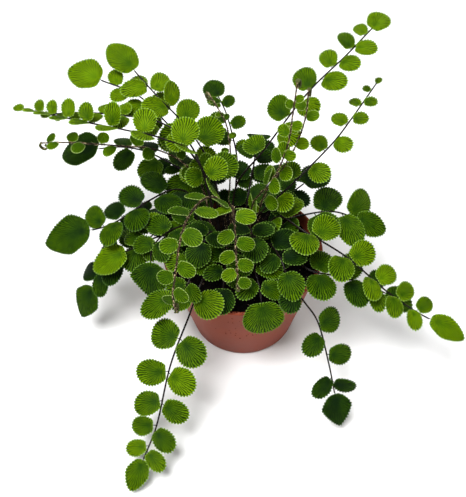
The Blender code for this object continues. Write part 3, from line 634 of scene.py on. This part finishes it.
def grow():
    """Every frond with the leaflets that it finds room for."""
    space = Space()
    grown = [Growth(frond, not frond.terminal, stalk_path(frond), []) for frond in FRONDS]
    for frond, young, path, _ in grown:
        line = sparse(path) + (crozier(path, CURL_STEPS) if young else [])
        space.stalks[frond.name] = tree(*stalk_skin(line))
    for frond, _, path, leaves in grown:
        for leaf, tangent in leaf_wishes(frond, path):
            for turn in TURNS:
                trial = turned(leaf, tangent, *turn)
                if space.is_free(trial, frond.name):
                    space.add(trial, frond.name)
                    leaves.append(trial)
                    break
    return grown


# Mesh building

def add_object(name, data):
    obj = bpy.data.objects.new(name, data)
    bpy.context.scene.collection.objects.link(obj)
    return obj


class Skin:
    """Points, faces and what the materials read of them, gathered for one mesh.

    veins: teeth round a leaflet's edge so far, and share of the way out to it.
    blade: share of the length, share of the half width, and mm to the edge.
    growth: tone, chance and underside; on stalks young, chance and kind; on mix pale and chance.
    """

    def __init__(self):
        self.points, self.faces, self.veins, self.blade, self.growth = [], [], [], [], []

    def add(self, points, faces, veins=None, blade=None, growth=(0.0, 0.0, 0.0)):
        start = len(self.points)
        self.points += [tuple(p) for p in points]
        self.faces += [tuple(k + start for k in face) for face in faces]
        self.veins += veins or [(0.0, 0.0)] * sum(len(face) for face in faces)
        self.blade += blade or [(0.0, 0.0, 9.0)] * len(points)
        self.growth += growth if isinstance(growth, list) else [growth] * len(points)

    def make(self, name, material):
        mesh = bpy.data.meshes.new(name)
        mesh.from_pydata((np.array(self.points) * MM).tolist(), [], self.faces)
        layer = mesh.uv_layers.new(name="veins")
        layer.data.foreach_set("uv", np.array(self.veins, float).ravel())
        for title, values in (("blade", self.blade), ("growth", self.growth)):
            data = mesh.attributes.new(title, "FLOAT_VECTOR", "POINT")
            data.data.foreach_set("vector", np.array(values, float).ravel())
        mesh.materials.append(material)
        mesh.shade_smooth()
        return add_object(name, mesh)


# Leaflet blades

def edge_line(leaf, start, draw):
    """Even points of the edge: mm along, mm across, and turn from the base."""
    turn = np.linspace(0, tau, EDGE_SAMPLES)
    spots = np.array([edge_point(leaf.kite, t) for t in turn])
    signed = np.where(turn > pi, turn - tau, turn)
    lobe = np.exp(-((np.abs(signed) - LOBE_TURN) / LOBE_SPREAD) ** 2)
    lobe *= (LOBE - KITE_LOBE_LOSS * leaf.kite) * leaf.length
    along = start + (leaf.length - start) * spots[:, 0] - lobe
    across = leaf.width / 2 * spots[:, 1] * (1 + draw.uniform(-SKEW, SKEW) * np.sign(signed))
    run = np.concatenate([[0], np.cumsum(np.hypot(np.diff(along), np.diff(across)))])
    pitch = TOOTH_PITCH + PITCH_GROWTH * min(leaf.length, LARGE_LEAF)
    count = max(FEWEST_TEETH, round(run[-1] / pitch)) * TOOTH_POINTS
    where = np.arange(count) / count * run[-1]
    return [np.interp(where, run, values) for values in (along, across, turn)]


class Blade:
    """A leaflet as rings of points, from a hub near its base out to its edge."""

    def __init__(self, leaf, tone, teeth, draw):
        self.leaf = leaf
        start = BLADE_START * leaf.length
        self.hub_x = start + HUB_SHARE * leaf.length
        self.x, self.y, self.turn = edge_line(leaf, start, draw)
        self.count = len(self.x)
        self.tooth = np.arange(self.count) % TOOTH_POINTS == 0
        from_base = np.minimum(self.turn, tau - self.turn)
        self.fade = np.clip((from_base - TEETH_TURN) / TEETH_EASE, 0, 1)
        jitter = np.array([draw.uniform(-TOOTH_JITTER, TOOTH_JITTER) for _ in self.x])
        cut = (np.where(self.tooth, NOTCH, CREST) * self.fade + jitter) * teeth
        from_middle = self.x - leaf.length * BLADE_MIDDLE
        reach = np.hypot(from_middle, self.y)
        self.cut_x = from_middle / reach * cut
        self.cut_y = self.y / reach * cut
        self.droop = draw.uniform(*DROOPS)
        self.ripple = draw.uniform(*RIPPLES)
        self.wave = draw.uniform(0, tau)
        self.look = (tone, draw.random())
        self.to_edge = np.hypot(self.x - self.hub_x, self.y)

    def ring(self, share, toothed, lift):
        """Points at a share of the way out, each with u, v and mm to the edge."""
        leaf = self.leaf
        x = self.hub_x + share * (self.x + self.cut_x * toothed - self.hub_x)
        y = share * (self.y + self.cut_y * toothed)
        u = x / leaf.length
        v = y / (leaf.width / 2)
        ripple = self.ripple * np.sin(2 * self.turn + self.wave) * share ** 2
        outward = np.clip((share - PLEAT_FROM) * PLEAT_EASE, 0, 1)
        pleat = PLEAT * np.where(self.tooth, -1.0, 0.5) * self.fade * outward
        from_tip = np.arange(self.count) - self.count / 2
        rib = RIB * np.exp(-(from_tip / RIB_SPREAD) ** 2) * (1 - share)
        z = arch(leaf, u) - self.droop * leaf.width * v * v + ripple + pleat - rib + lift
        across = leaf.normal.cross(leaf.axis)
        spots = np.outer(x, leaf.axis) + np.outer(y, across) + np.outer(z, leaf.normal) + leaf.base
        return spots, np.stack([u, v, self.to_edge * (1 - share)], axis=1)

    def face(self, upper):
        """The rings of one face: (shares of the way out, rings)."""
        band = 1 - MARGIN_BAND / float(np.mean(self.to_edge))
        shares = (0.0, *RING_SHARES, band, 1.0) if upper else (0.0, *UNDER_SHARES)
        rings = []
        for share in shares:
            lift = (FINE_THICKNESS + (EDGE_THICKNESS - FINE_THICKNESS) * share ** 2) / 2
            toothed = 1.0 if share == 1.0 else (0.6 if share >= band else 0.0)
            rings.append(self.ring(share, toothed, lift if upper else -lift))
        return shares, rings

    def number(self, ring, k):
        """Number of a point within its face, where ring 0 is the hub alone."""
        return 1 + (ring - 1) * self.count + k % self.count if ring else 0

    def add_to(self, skin):
        """Both faces, and the strip round the edge that joins them."""
        points, faces, veins, data, growth, edges = [], [], [], [], [], []
        for upper in (True, False):
            shares, rings = self.face(upper)
            hub = len(points)
            points.append(rings[0][0].mean(axis=0))
            data.append(rings[0][1].mean(axis=0))
            for spots, values in rings[1:]:
                points += list(spots)
                data += list(values)
            growth += [(*self.look, 0.0 if upper else 1.0)] * (len(points) - hub)
            for k in range(self.count):
                for r in range(len(shares) - 1):
                    corners = [(r, k), (r + 1, k), (r + 1, k + 1), (r, k + 1)][:4 if r else 3]
                    if not upper:
                        corners.reverse()
                    faces.append([hub + self.number(*corner) for corner in corners])
                    veins += [(tooth / TOOTH_POINTS, shares[ring]) for ring, tooth in corners]
            edges.append(len(points) - self.count)
        top, under = edges
        for k in range(self.count):
            n = (k + 1) % self.count
            faces.append([top + k, under + k, under + n, top + n])
            veins += [(k / TOOTH_POINTS, 1.0)] * 2 + [((k + 1) / TOOTH_POINTS, 1.0)] * 2
        skin.add(points, faces, veins, [tuple(d) for d in data], growth)


# Stalks

def add_tube(skin, line, radii, sides, growth):
    """A closed round tube along a line."""
    points = []
    up = None
    for k, p in enumerate(line):
        ahead = heading(line, k - 1, k + 1)
        up = ahead.orthogonal() if up is None else up - ahead * up.dot(ahead)
        up.normalize()
        side = ahead.cross(up)
        for j in range(sides):
            angle = tau * j / sides
            points.append(p + (up * cos(angle) + side * sin(angle)) * radii[k])
    ends = [tuple(reversed(range(sides))), tuple(range(len(points) - sides, len(points)))]
    skin.add(points, ends + quads(len(line), sides), growth=growth)


def add_stub(skin, path, leaf, age):
    """The short stalk of one leaflet."""
    foot = onto(path, leaf.base)
    end = leaf.base + leaf.axis * leaf.length * STUB_REACH + leaf.normal * leaf.length * STUB_RISE
    bend = foot.lerp(end, 0.5) + leaf.normal * 0.12
    thick = STUB_RADIUS * min(1.0, 0.45 + leaf.length / LARGE_LEAF)
    add_tube(skin, [foot, bend, end], [thick * 1.15, thick, thick * 0.7], STUB_SIDES, (age, 0.0, 0.0))


def add_buds(skin, curl, draw):
    """Folded leaflets, small beans in pairs along the curl."""
    ball_points, faces = ball(2)
    centre = middle(curl)
    for k in range(2, len(curl), 3):
        out = (curl[k] - centre).normalized()
        along = heading(curl, k - 1, k + 1)
        side = along.cross(out).normalized()
        for hand in (-1, 1):
            spot = curl[k] + side * hand * 0.55 + out * 0.1
            size = (BUD_SIZE - BUD_SHRINK * k / len(curl)) * draw.uniform(0.75, 1.0)
            points = [spot + along * p.x * size * 1.3 + side * p.y * size + out * p.z * size * 0.8
                      for p in ball_points]
            skin.add(points, faces, growth=(1.0, draw.random(), 0.3))


def add_scales(skin, line, radii, last, young, draw):
    """Papery slivers that stand off the stalk, many on a young one."""
    shortest, longest, width = YOUNG_SCALE if young else OLD_SCALE
    for k in range(FIRST_SCALE, len(line) - 2):
        if young:
            density = CURL_SCALES if k > last else YOUNG_SCALES[0] + YOUNG_SCALES[1] * (k / len(line))
        else:
            density = FOOT_SCALES if k < FOOT_END else OLD_SCALES
        while draw.random() < density:
            density -= 1
            along = heading(line, k, k + 1)
            out = along.orthogonal().normalized()
            out.rotate(Matrix.Rotation(draw.uniform(0, tau), 3, along))
            foot = line[k] + out * radii[k] * 0.8
            side = along.cross(out).normalized() * width / 2
            tip = foot + (along * 0.9 + out * 0.42) * draw.uniform(shortest, longest)
            skin.add([foot - side, foot + side, foot + out * 0.15, tip],
                     [(0, 1, 3), (1, 2, 3), (2, 0, 3), (0, 2, 1)], growth=(float(young), draw.random(), 1.0))


def make_stalk(grown, material):
    """The stalk with stubs, scales and, on a young frond, a curled tip."""
    frond, young, path, leaves = grown
    draw = random.Random(frond.name + " stalk")
    skin = Skin()
    curl = crozier(path, FINE_CURL_STEPS) if young else []
    last = len(path) - 1
    age = float(young)
    root, tip = YOUNG_STALK_RADII if young else STALK_RADII
    radii = [root + (tip - root) * (k / last) ** 0.8 for k in range(len(path))]
    radii += [tip * (1.25 - 0.6 * k / len(curl)) for k in range(len(curl))]
    add_tube(skin, path + curl, radii, STALK_SIDES, (age, 0.0, 0.0))
    for leaf in leaves:
        add_stub(skin, path, leaf, age)
    if young:
        add_buds(skin, curl, draw)
    add_scales(skin, path + curl, radii, last, young, draw)
    return skin.make(frond.name + "_stalk", material)


# Shader nodes

class Value:
    """What a node gives out; +, - and * add a node that works them out."""

    def __init__(self, shader, socket):
        self.shader = shader
        self.socket = socket

    def __add__(self, other):
        return self.shader.math("ADD", self, other)

    def __sub__(self, other):
        return self.shader.math("SUBTRACT", self, other)

    def __rsub__(self, other):
        return self.shader.math("SUBTRACT", other, self)

    def __mul__(self, other):
        return self.shader.math("MULTIPLY", self, other)


class Shader:
    """The nodes of a material or a world, with short calls for those used here."""

    def __init__(self, name, kind=bpy.data.materials):
        self.owner = kind.new(name)
        self.owner.use_nodes = True
        self.tree = self.owner.node_tree

    def link(self, source, target):
        """Set a socket to a number or colour, or link a value to it."""
        if isinstance(source, Value):
            self.tree.links.new(source.socket, target)
        else:
            target.default_value = (*source, 1.0) if isinstance(source, tuple) else source

    def node(self, kind, inputs, output=0, **settings):
        """Add a node with these settings and inputs, and return one of its outputs."""
        made = self.tree.nodes.new("ShaderNode" + kind)
        for key, value in settings.items():
            setattr(made, key, value)
        for socket, source in inputs.items():
            self.link(source, made.inputs[socket])
        return Value(self, made.outputs[output])

    def split(self, vector):
        """The three parts of a vector."""
        parts = self.node("SeparateXYZ", {0: vector}).socket.node.outputs
        return [Value(self, part) for part in parts]

    def attribute(self, name):
        return self.split(self.node("Attribute", {}, "Vector", attribute_name=name))

    def place(self):
        return self.node("TexCoord", {}, "Object")

    def noise(self, size_mm, detail):
        """Noise from 0 to 1 with features of about this size."""
        return self.node("TexNoise", {"Vector": self.place(), "Scale": 1 / (size_mm * MM), "Detail": detail},
                         "Fac")

    def math(self, operation, a, b=0.0):
        return self.node("Math", {0: a, 1: b}, operation=operation)

    def ease(self, value, low, high):
        """0 below low, 1 above high, smooth between them."""
        return self.node("MapRange", {"Value": value, "From Min": low, "From Max": high}, "Result",
                         interpolation_type="SMOOTHSTEP")

    def furrows(self, run, low, high, share):
        """Lines at the whole numbers of run, as strong as share."""
        return self.ease(self.math("ABSOLUTE", self.math("FRACT", run) - 0.5), low, high) * share

    def mix(self, share, a, b, blend="MIX"):
        """From colour a at share 0 and below to colour b at 1 and above."""
        return self.node("Mix", {"Factor": share, 6: a, 7: b}, 2, data_type="RGBA", blend_type=blend)

    def ramp(self, value, stops):
        """Colours by value, constant outside the stops."""
        colours = self.node("ValToRGB", {0: value})
        elements = colours.socket.node.color_ramp.elements
        while len(elements) < len(stops):
            elements.new(0.5)
        for element, (at, colour) in zip(elements, stops):
            element.position = at
            element.color = (*colour, 1.0)
        return colours

    def bump(self, height, strength, depth_mm):
        relief = self.node("Bump", {"Strength": strength, "Distance": depth_mm * MM, "Height": height})
        self.link(relief, self.tree.nodes["Principled BSDF"].inputs["Normal"])

    def finish(self, colour, roughness, shine):
        surface = self.tree.nodes["Principled BSDF"]
        self.link(colour, surface.inputs["Base Color"])
        self.link(roughness, surface.inputs["Roughness"])
        surface.inputs["Specular IOR Level"].default_value = shine
        return self.owner


# Finishes

def leaf_finish(name, greens, edge_green, edge_share, vein_share, rim_width):
    """Leathery leaflet: forked furrows from its base, a pale rim and a duller underside."""
    s = Shader(name)
    _, across, to_edge = s.attribute("blade")
    brightness, chance, under = s.attribute("growth")
    tooth, out, _ = s.attribute("veins")
    grain = s.noise(1.0, 1.0)
    tone = (brightness + (chance - 0.5) * 0.5 + (s.noise(6.0, 3.0) - 0.5) * 0.6
            + (grain - 0.5) * 0.35 + (s.ease(out, 0.0, 0.8) - 0.6) * 0.35)
    green = s.ramp(tone, greens)
    # Every tooth has a furrow near the edge, every second one further in, every fourth at the hub.
    run = tooth + (s.noise(2.1, 1.5) - 0.5) * 1.2
    forks = s.furrows(run, 0.18, 0.36, s.ease(out, 0.3, 0.6))
    mains = s.furrows(run * 0.5, 0.3, 0.43, s.ease(out, 0.1, 0.4))
    trunks = s.furrows(run * 0.25, 0.3, 0.44, 0.6 - s.ease(out, 0.2, 0.45) * 0.6)
    lines = s.math("MAXIMUM", forks, s.math("MAXIMUM", mains, trunks))
    lines = lines * (1.0 - s.ease(s.noise(2.2, 2.0), 0.4, 0.75) * 0.3)
    ridge = s.mix(1.0, green, (1.75, 1.5, 1.2), "MULTIPLY")
    furrow = s.mix(1.0, green, (0.02, 0.06, 0.03), "MULTIPLY")
    colour = s.mix((s.ease(out, 0.02, 0.4) - lines) * vein_share, green, ridge)
    colour = s.mix(lines * vein_share, colour, furrow)
    rim = 1.0 - s.ease(to_edge, 0.3 * rim_width, rim_width)
    rim = rim * (1.0 - s.furrows(tooth, 0.2, 0.45, 1.0) * vein_share) * (1.0 - under * 0.65)
    colour = s.mix(rim * edge_share, colour, edge_green)
    dull = s.mix(1.0, s.mix(0.5, colour, (0.09, 0.16, 0.045)), (0.9, 0.95, 0.9), "MULTIPLY")
    cup = across * across * -5.0
    s.bump(cup + (grain * 0.2 - lines), 0.9, 0.22)
    return s.finish(s.mix(under, colour, dull), (grain + under) * 0.2 + 0.42, LEAF_SHINE)


def stalk_finish():
    """Dark wiry stalks, and tan scaly ones on young fronds."""
    s = Shader("wiry_stalk")
    young, chance, kind = s.attribute("growth")
    streak = s.noise(1.6, 3.0)
    old = s.ramp(streak, [(0.3, (0.002, 0.0014, 0.0014)), (0.7, (0.010, 0.006, 0.004))])
    new = s.ramp(streak, [(0.35, (0.004, 0.002, 0.0015)), (0.65, (0.040, 0.022, 0.011))])
    tan = s.ramp(chance, [(0.35, (0.035, 0.018, 0.009)), (0.6, (0.22, 0.14, 0.065)),
                          (0.95, (0.62, 0.50, 0.29))])
    scale = s.mix(young, (0.022, 0.012, 0.007), tan)
    colour = s.mix(s.ease(kind, 0.6, 0.9), s.mix(young, old, new), scale)
    bud = s.ease(kind, 0.2, 0.28) * (1.0 - s.ease(kind, 0.32, 0.4))
    colour = s.mix(bud * 0.75, colour, (0.07, 0.085, 0.02))
    s.bump(streak, 0.4, 0.1)
    return s.finish(colour, young * 0.25 + 0.26, 0.12)


def pot_finish():
    """Smooth terracotta-coloured plastic with faint mottling and dust."""
    s = Shader("terracotta_plastic")
    cloud = s.noise(22.0, 3.0)
    colour = s.ramp(cloud, [(0.3, (0.182, 0.035, 0.016)), (0.7, (0.232, 0.050, 0.026))])
    low = 1.0 - s.ease(s.split(s.place())[2], 0.0, 0.05)
    colour = s.mix(low * 0.5, colour, (0.200, 0.050, 0.034))
    dust = s.ease(s.noise(1.3, 2.0), 0.62, 0.75) * s.ease(cloud, 0.45, 0.7)
    colour = s.mix(dust * 0.5, colour, (0.09, 0.035, 0.025))
    s.bump(s.noise(0.5, 3.0), 0.25, 0.08)
    return s.finish(colour, cloud * 0.2 + 0.42, 0.06)


def soil_finish():
    """Damp peat, bark and a few pale bits."""
    s = Shader("damp_potting_mix")
    pale, chance, _ = s.attribute("growth")
    clump = s.noise(2.6, 4.0)
    speck = s.noise(0.6, 2.0)
    colour = s.ramp(clump, [(0.3, (0.0012, 0.001, 0.0012)), (0.75, (0.008, 0.0055, 0.005))])
    colour = s.mix(s.ease(speck, 0.66, 0.74) * 0.7, colour, (0.08, 0.058, 0.045))
    colour = s.mix(pale, colour, s.mix(chance, (0.016, 0.009, 0.006), (0.30, 0.22, 0.15)))
    s.bump(clump + speck * 0.5, 0.8, 0.8)
    return s.finish(colour, speck * 0.2 + 0.75, 0.05)


# Pot and potting mix

def turned_body(profile, steps):
    """Points and faces of a profile of (radius, height) turned about Z."""
    points = []
    rings = []
    for r, z in profile:
        around = circle(r, z, steps) if r else [(0.0, 0.0, z)]
        rings.append([len(points) + j % len(around) for j in range(steps)])
        points += around
    faces = []
    for inner, outer in zip(rings, rings[1:]):
        for j in range(steps):
            n = (j + 1) % steps
            face = [inner[j], outer[j], outer[n], inner[n]]
            faces.append([k for i, k in enumerate(face) if k != face[i - 1]])
    return points, faces


def rounded(profile):
    """The profile with its sharp corners rounded."""
    smooth = [profile[0]]
    for a, b, c in zip(profile, profile[1:], profile[2:]):
        before, corner, after = Vector(a), Vector(b), Vector(c)
        reach = min(EDGE_ROUND, (corner - before).length * 0.35, (after - corner).length * 0.35)
        if (corner - before).angle(after - corner) < SHARP_EDGE or reach < 0.1:
            smooth.append(b)
            continue
        first = corner + (before - corner).normalized() * reach
        last = corner + (after - corner).normalized() * reach
        for t in (0.0, 0.5, 1.0):
            smooth.append(tuple(first.lerp(corner, t).lerp(corner.lerp(last, t), t)))
    return [*smooth, profile[-1]]


def make_drills():
    """One body for each drain hole, in one object."""
    shape = bmesh.new()
    radius = DRAIN_RADIUS * MM
    for x, y, _ in circle(DRAIN_CIRCLE * MM, 0, 2 * DRAIN_COUNT)[1::2]:
        bmesh.ops.create_cone(shape, cap_ends=True, segments=40, radius1=radius, radius2=radius,
                              depth=4 * BASE_THICKNESS * MM, matrix=Matrix.Translation((x, y, 0)))
    mesh = bpy.data.meshes.new("drain_drills")
    shape.to_mesh(mesh)
    shape.free()
    return add_object("drain_drills", mesh)


def make_pot(material):
    """The pot with finer steps and rounded edges, and its drain holes."""
    skin = Skin()
    skin.add(*turned_body(rounded(pot_profile()), FINE_POT_STEPS))
    pot = skin.make("nursery_pot", material)
    drills = make_drills()
    cut = pot.modifiers.new("drain_holes", "BOOLEAN")
    cut.operation = "DIFFERENCE"
    cut.object = drills
    cut.solver = "EXACT"
    graph = bpy.context.evaluated_depsgraph_get()
    pot.data = bpy.data.meshes.new_from_object(pot.evaluated_get(graph))
    pot.modifiers.clear()
    bpy.data.objects.remove(drills)
    pot.data.set_sharp_from_angle(angle=radians(50))
    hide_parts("pot")
    return pot


def crumbly(x, y):
    """The lumpy top of the mix with clods and crumbs on it."""
    lumps = (sin(0.31 * x + 0.8) * cos(0.27 * y - 0.5)
             + 0.6 * sin(0.53 * x - 0.41 * y + 2.1))
    clods = noise.noise(Vector((x * 0.28, y * 0.28, 3.1)))
    crumbs = noise.noise(Vector((x * 0.9, y * 0.9, 7.7)))
    return SOIL_LEVEL + SOIL_LUMP * lumps / 1.6 + CLOD * clods + CRUMB * crumbs


def make_soil(material):
    """Potting mix with a crumbly top."""
    floor = BASE_THICKNESS + SOIL_GAP
    top = soil_radius(SOIL_LEVEL)
    profile = [(top * ring / FINE_SOIL_RINGS, SOIL_LEVEL) for ring in range(FINE_SOIL_RINGS + 1)]
    profile += [(soil_radius(floor + 1), floor + 1), (soil_radius(floor) - 1, floor), (0.0, floor)]
    points, faces = turned_body(profile, FINE_SOIL_STEPS)
    shaped = []
    for x, y, z in points:
        if z == SOIL_LEVEL:
            edge = min(1.0, (top - hypot(x, y)) / SOIL_EDGE)
            z = SOIL_LEVEL + (crumbly(x, y) - SOIL_LEVEL) * edge
        shaped.append((x, y, z))
    skin = Skin()
    skin.add(shaped, faces)
    soil = skin.make("potting_mix_body", material)
    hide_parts("potting_mix")
    return soil


def add_chip(skin, centre, size, flat, pale, draw):
    """An irregular chip with few faces."""
    turn = Matrix.Rotation(draw.uniform(0, tau), 3, "Z")
    turn = turn @ Matrix.Rotation(draw.uniform(-0.5, 0.5), 3, "X")
    stretch = draw.uniform(0.6, 1.0)
    ball_points, faces = ball(1)
    points = []
    for p in ball_points:
        x, y, z = p * draw.uniform(0.75, 1.1)
        points.append(centre + turn @ Vector((x * size, y * size * stretch, z * size * flat)))
    skin.add(points, faces, growth=(float(pale), draw.random(), 0.0))


def make_crumbs(material):
    """Loose bits of bark and peat on top of the mix."""
    draw = random.Random("crumbs")
    skin = Skin()
    reach = soil_radius(SOIL_LEVEL) - 1.5
    for _ in range(CRUMB_COUNT):
        angle = draw.uniform(0, tau)
        away = reach * sqrt(draw.random())
        x = away * cos(angle)
        y = away * sin(angle)
        size = draw.uniform(*(FINE_CRUMB_SIZES if draw.random() < FINE_CRUMBS else CRUMB_SIZES))
        centre = Vector((x, y, crumbly(x, y) + size * 0.2))
        add_chip(skin, centre, size, draw.uniform(0.4, 0.8), draw.random() < PALE_SHARE, draw)
    crumbs = skin.make("bark_crumbs", material)
    return crumbs


def make_specks(material):
    """Specks of mix that stick to the front of the pot and its rim."""
    draw = random.Random("specks")
    skin = Skin()
    for k in range(SPECK_COUNT):
        on_rim = k % 3 > 0
        angle = radians(draw.gauss(FRONT, RIM_SPREAD if on_rim else WALL_SPREAD))
        z = POT_HEIGHT if on_rim else draw.uniform(30, 66)
        radius = RIM_RADIUS - draw.uniform(0.5, 1.4) if on_rim else BASE_RADIUS + SLOPE * z
        size = draw.uniform(*SPECK_SIZES)
        pale = on_rim and draw.random() < PALE_SHARE
        add_chip(skin, Vector((radius * cos(angle), radius * sin(angle), z)), size, 0.7, pale, draw)
    specks = skin.make("mix_specks", material)
    return specks


# Fronds

def make_fronds(finishes, wiry):
    """Fine leaflets and a fine stalk in place of each plain frond."""
    for grown in grow():
        frond = grown.frond
        draw = random.Random(frond.name + " blades")
        skin = Skin()
        for leaf in grown.leaves:
            teeth = YOUNG_TEETH if grown.young else MATURE_TEETH
            # Painted shade: a full-grown leaflet gets a lower tone the nearer it sits to the plant's middle
            painted_shade_share = 0.0 if grown.young else max(0.0, 1 - leaf.base.xy.length / PAINTED_SHADE_REACH)
            Blade(leaf, frond.tone - PAINTED_SHADE_DARKENING * painted_shade_share, teeth, draw).add_to(skin)
        slot = frame_slots[frond.name]
        blades = skin.make(frond.name + "_leaflets", finishes[slot])
        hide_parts(frond.name)
        stalk = make_stalk(grown, wiry)
        for piece in (blades, stalk):
            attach(piece, "root")


# Stage

def area_light(name, place, size, power):
    data = bpy.data.lights.new(name, "AREA")
    data.shape = "DISK"
    data.size = size
    data.energy = power
    lamp = add_object(name, data)
    lamp.location = place
    lamp.rotation_euler = (Vector(LAMP_AIM) - Vector(place)).to_track_quat("-Z", "Y").to_euler()


def studio_world():
    """Pale walls all round and a dimmer ceiling."""
    s = Shader("studio", bpy.data.worlds)
    height = s.split(s.node("TexCoord", {}, "Generated"))[2]
    grey = s.ramp(height, [(WALL_TOP, (WALL_LIGHT,) * 3), (CEILING_FROM, (CEILING_LIGHT,) * 3)])
    s.link(grey, s.tree.nodes["Background"].inputs[0])
    return s.owner


def make_camera():
    """A camera 50 degrees above the table, with the rim where the photograph has it."""
    camera = add_object("camera", bpy.data.cameras.new("camera"))
    data = camera.data
    data.sensor_width = SENSOR
    data.lens = SENSOR * FOCAL_PIXELS / PICTURE_HEIGHT
    data.shift_x = -RIM_RIGHT_OF_MIDDLE / PICTURE_HEIGHT
    data.shift_y = RIM_BELOW_MIDDLE / PICTURE_HEIGHT
    data.clip_start = 0.01
    back = Vector((0, -cos(CAMERA_ELEVATION), sin(CAMERA_ELEVATION)))
    camera.location = (Vector((0, 0, POT_HEIGHT)) + back * CAMERA_DISTANCE) * MM
    camera.rotation_euler = (-back).to_track_quat("-Z", "Y").to_euler()
    return camera


def make_stage():
    """Pale floor, soft light and camera."""
    s = Shader("pale_floor")
    tint = s.ramp(s.noise(400.0, 1.0), [(0.3, (0.90, 0.90, 0.90)), (0.7, (0.93, 0.93, 0.93))])
    skin = Skin()
    skin.add(circle(FLOOR_RADIUS, 0, FLOOR_SIDES), [tuple(range(FLOOR_SIDES))])
    floor = skin.make("floor", s.finish(tint, 0.9, 0.1))
    scene = bpy.context.scene
    scene.world = studio_world()
    for lamp in LAMPS:
        area_light(*lamp)
    scene.view_settings.view_transform = "Standard"
    scene.view_settings.look = "None"
    scene.camera = make_camera()


def main():
    make_stage()
    soil = soil_finish()
    for piece in (make_pot(pot_finish()), make_soil(soil), make_crumbs(soil), make_specks(soil)):
        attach(piece, "root")
    finishes = {
        "dark_green": leaf_finish("dark_leaflet", GREENS, (0.09, 0.18, 0.04), 0.6, 0.9, 0.6),
        "mid_green": leaf_finish("mid_leaflet", GREENS, (0.17, 0.31, 0.05), 0.75, 0.9, 0.6),
        "bright_green": leaf_finish("bright_leaflet", GREENS, (0.26, 0.42, 0.07), 0.75, 0.85, 0.6),
        "young_green": leaf_finish("young_leaflet", YOUNG_GREENS, (0.40, 0.54, 0.15), 0.85, 0.65, 0.38),
    }
    make_fronds(finishes, stalk_finish())


main()
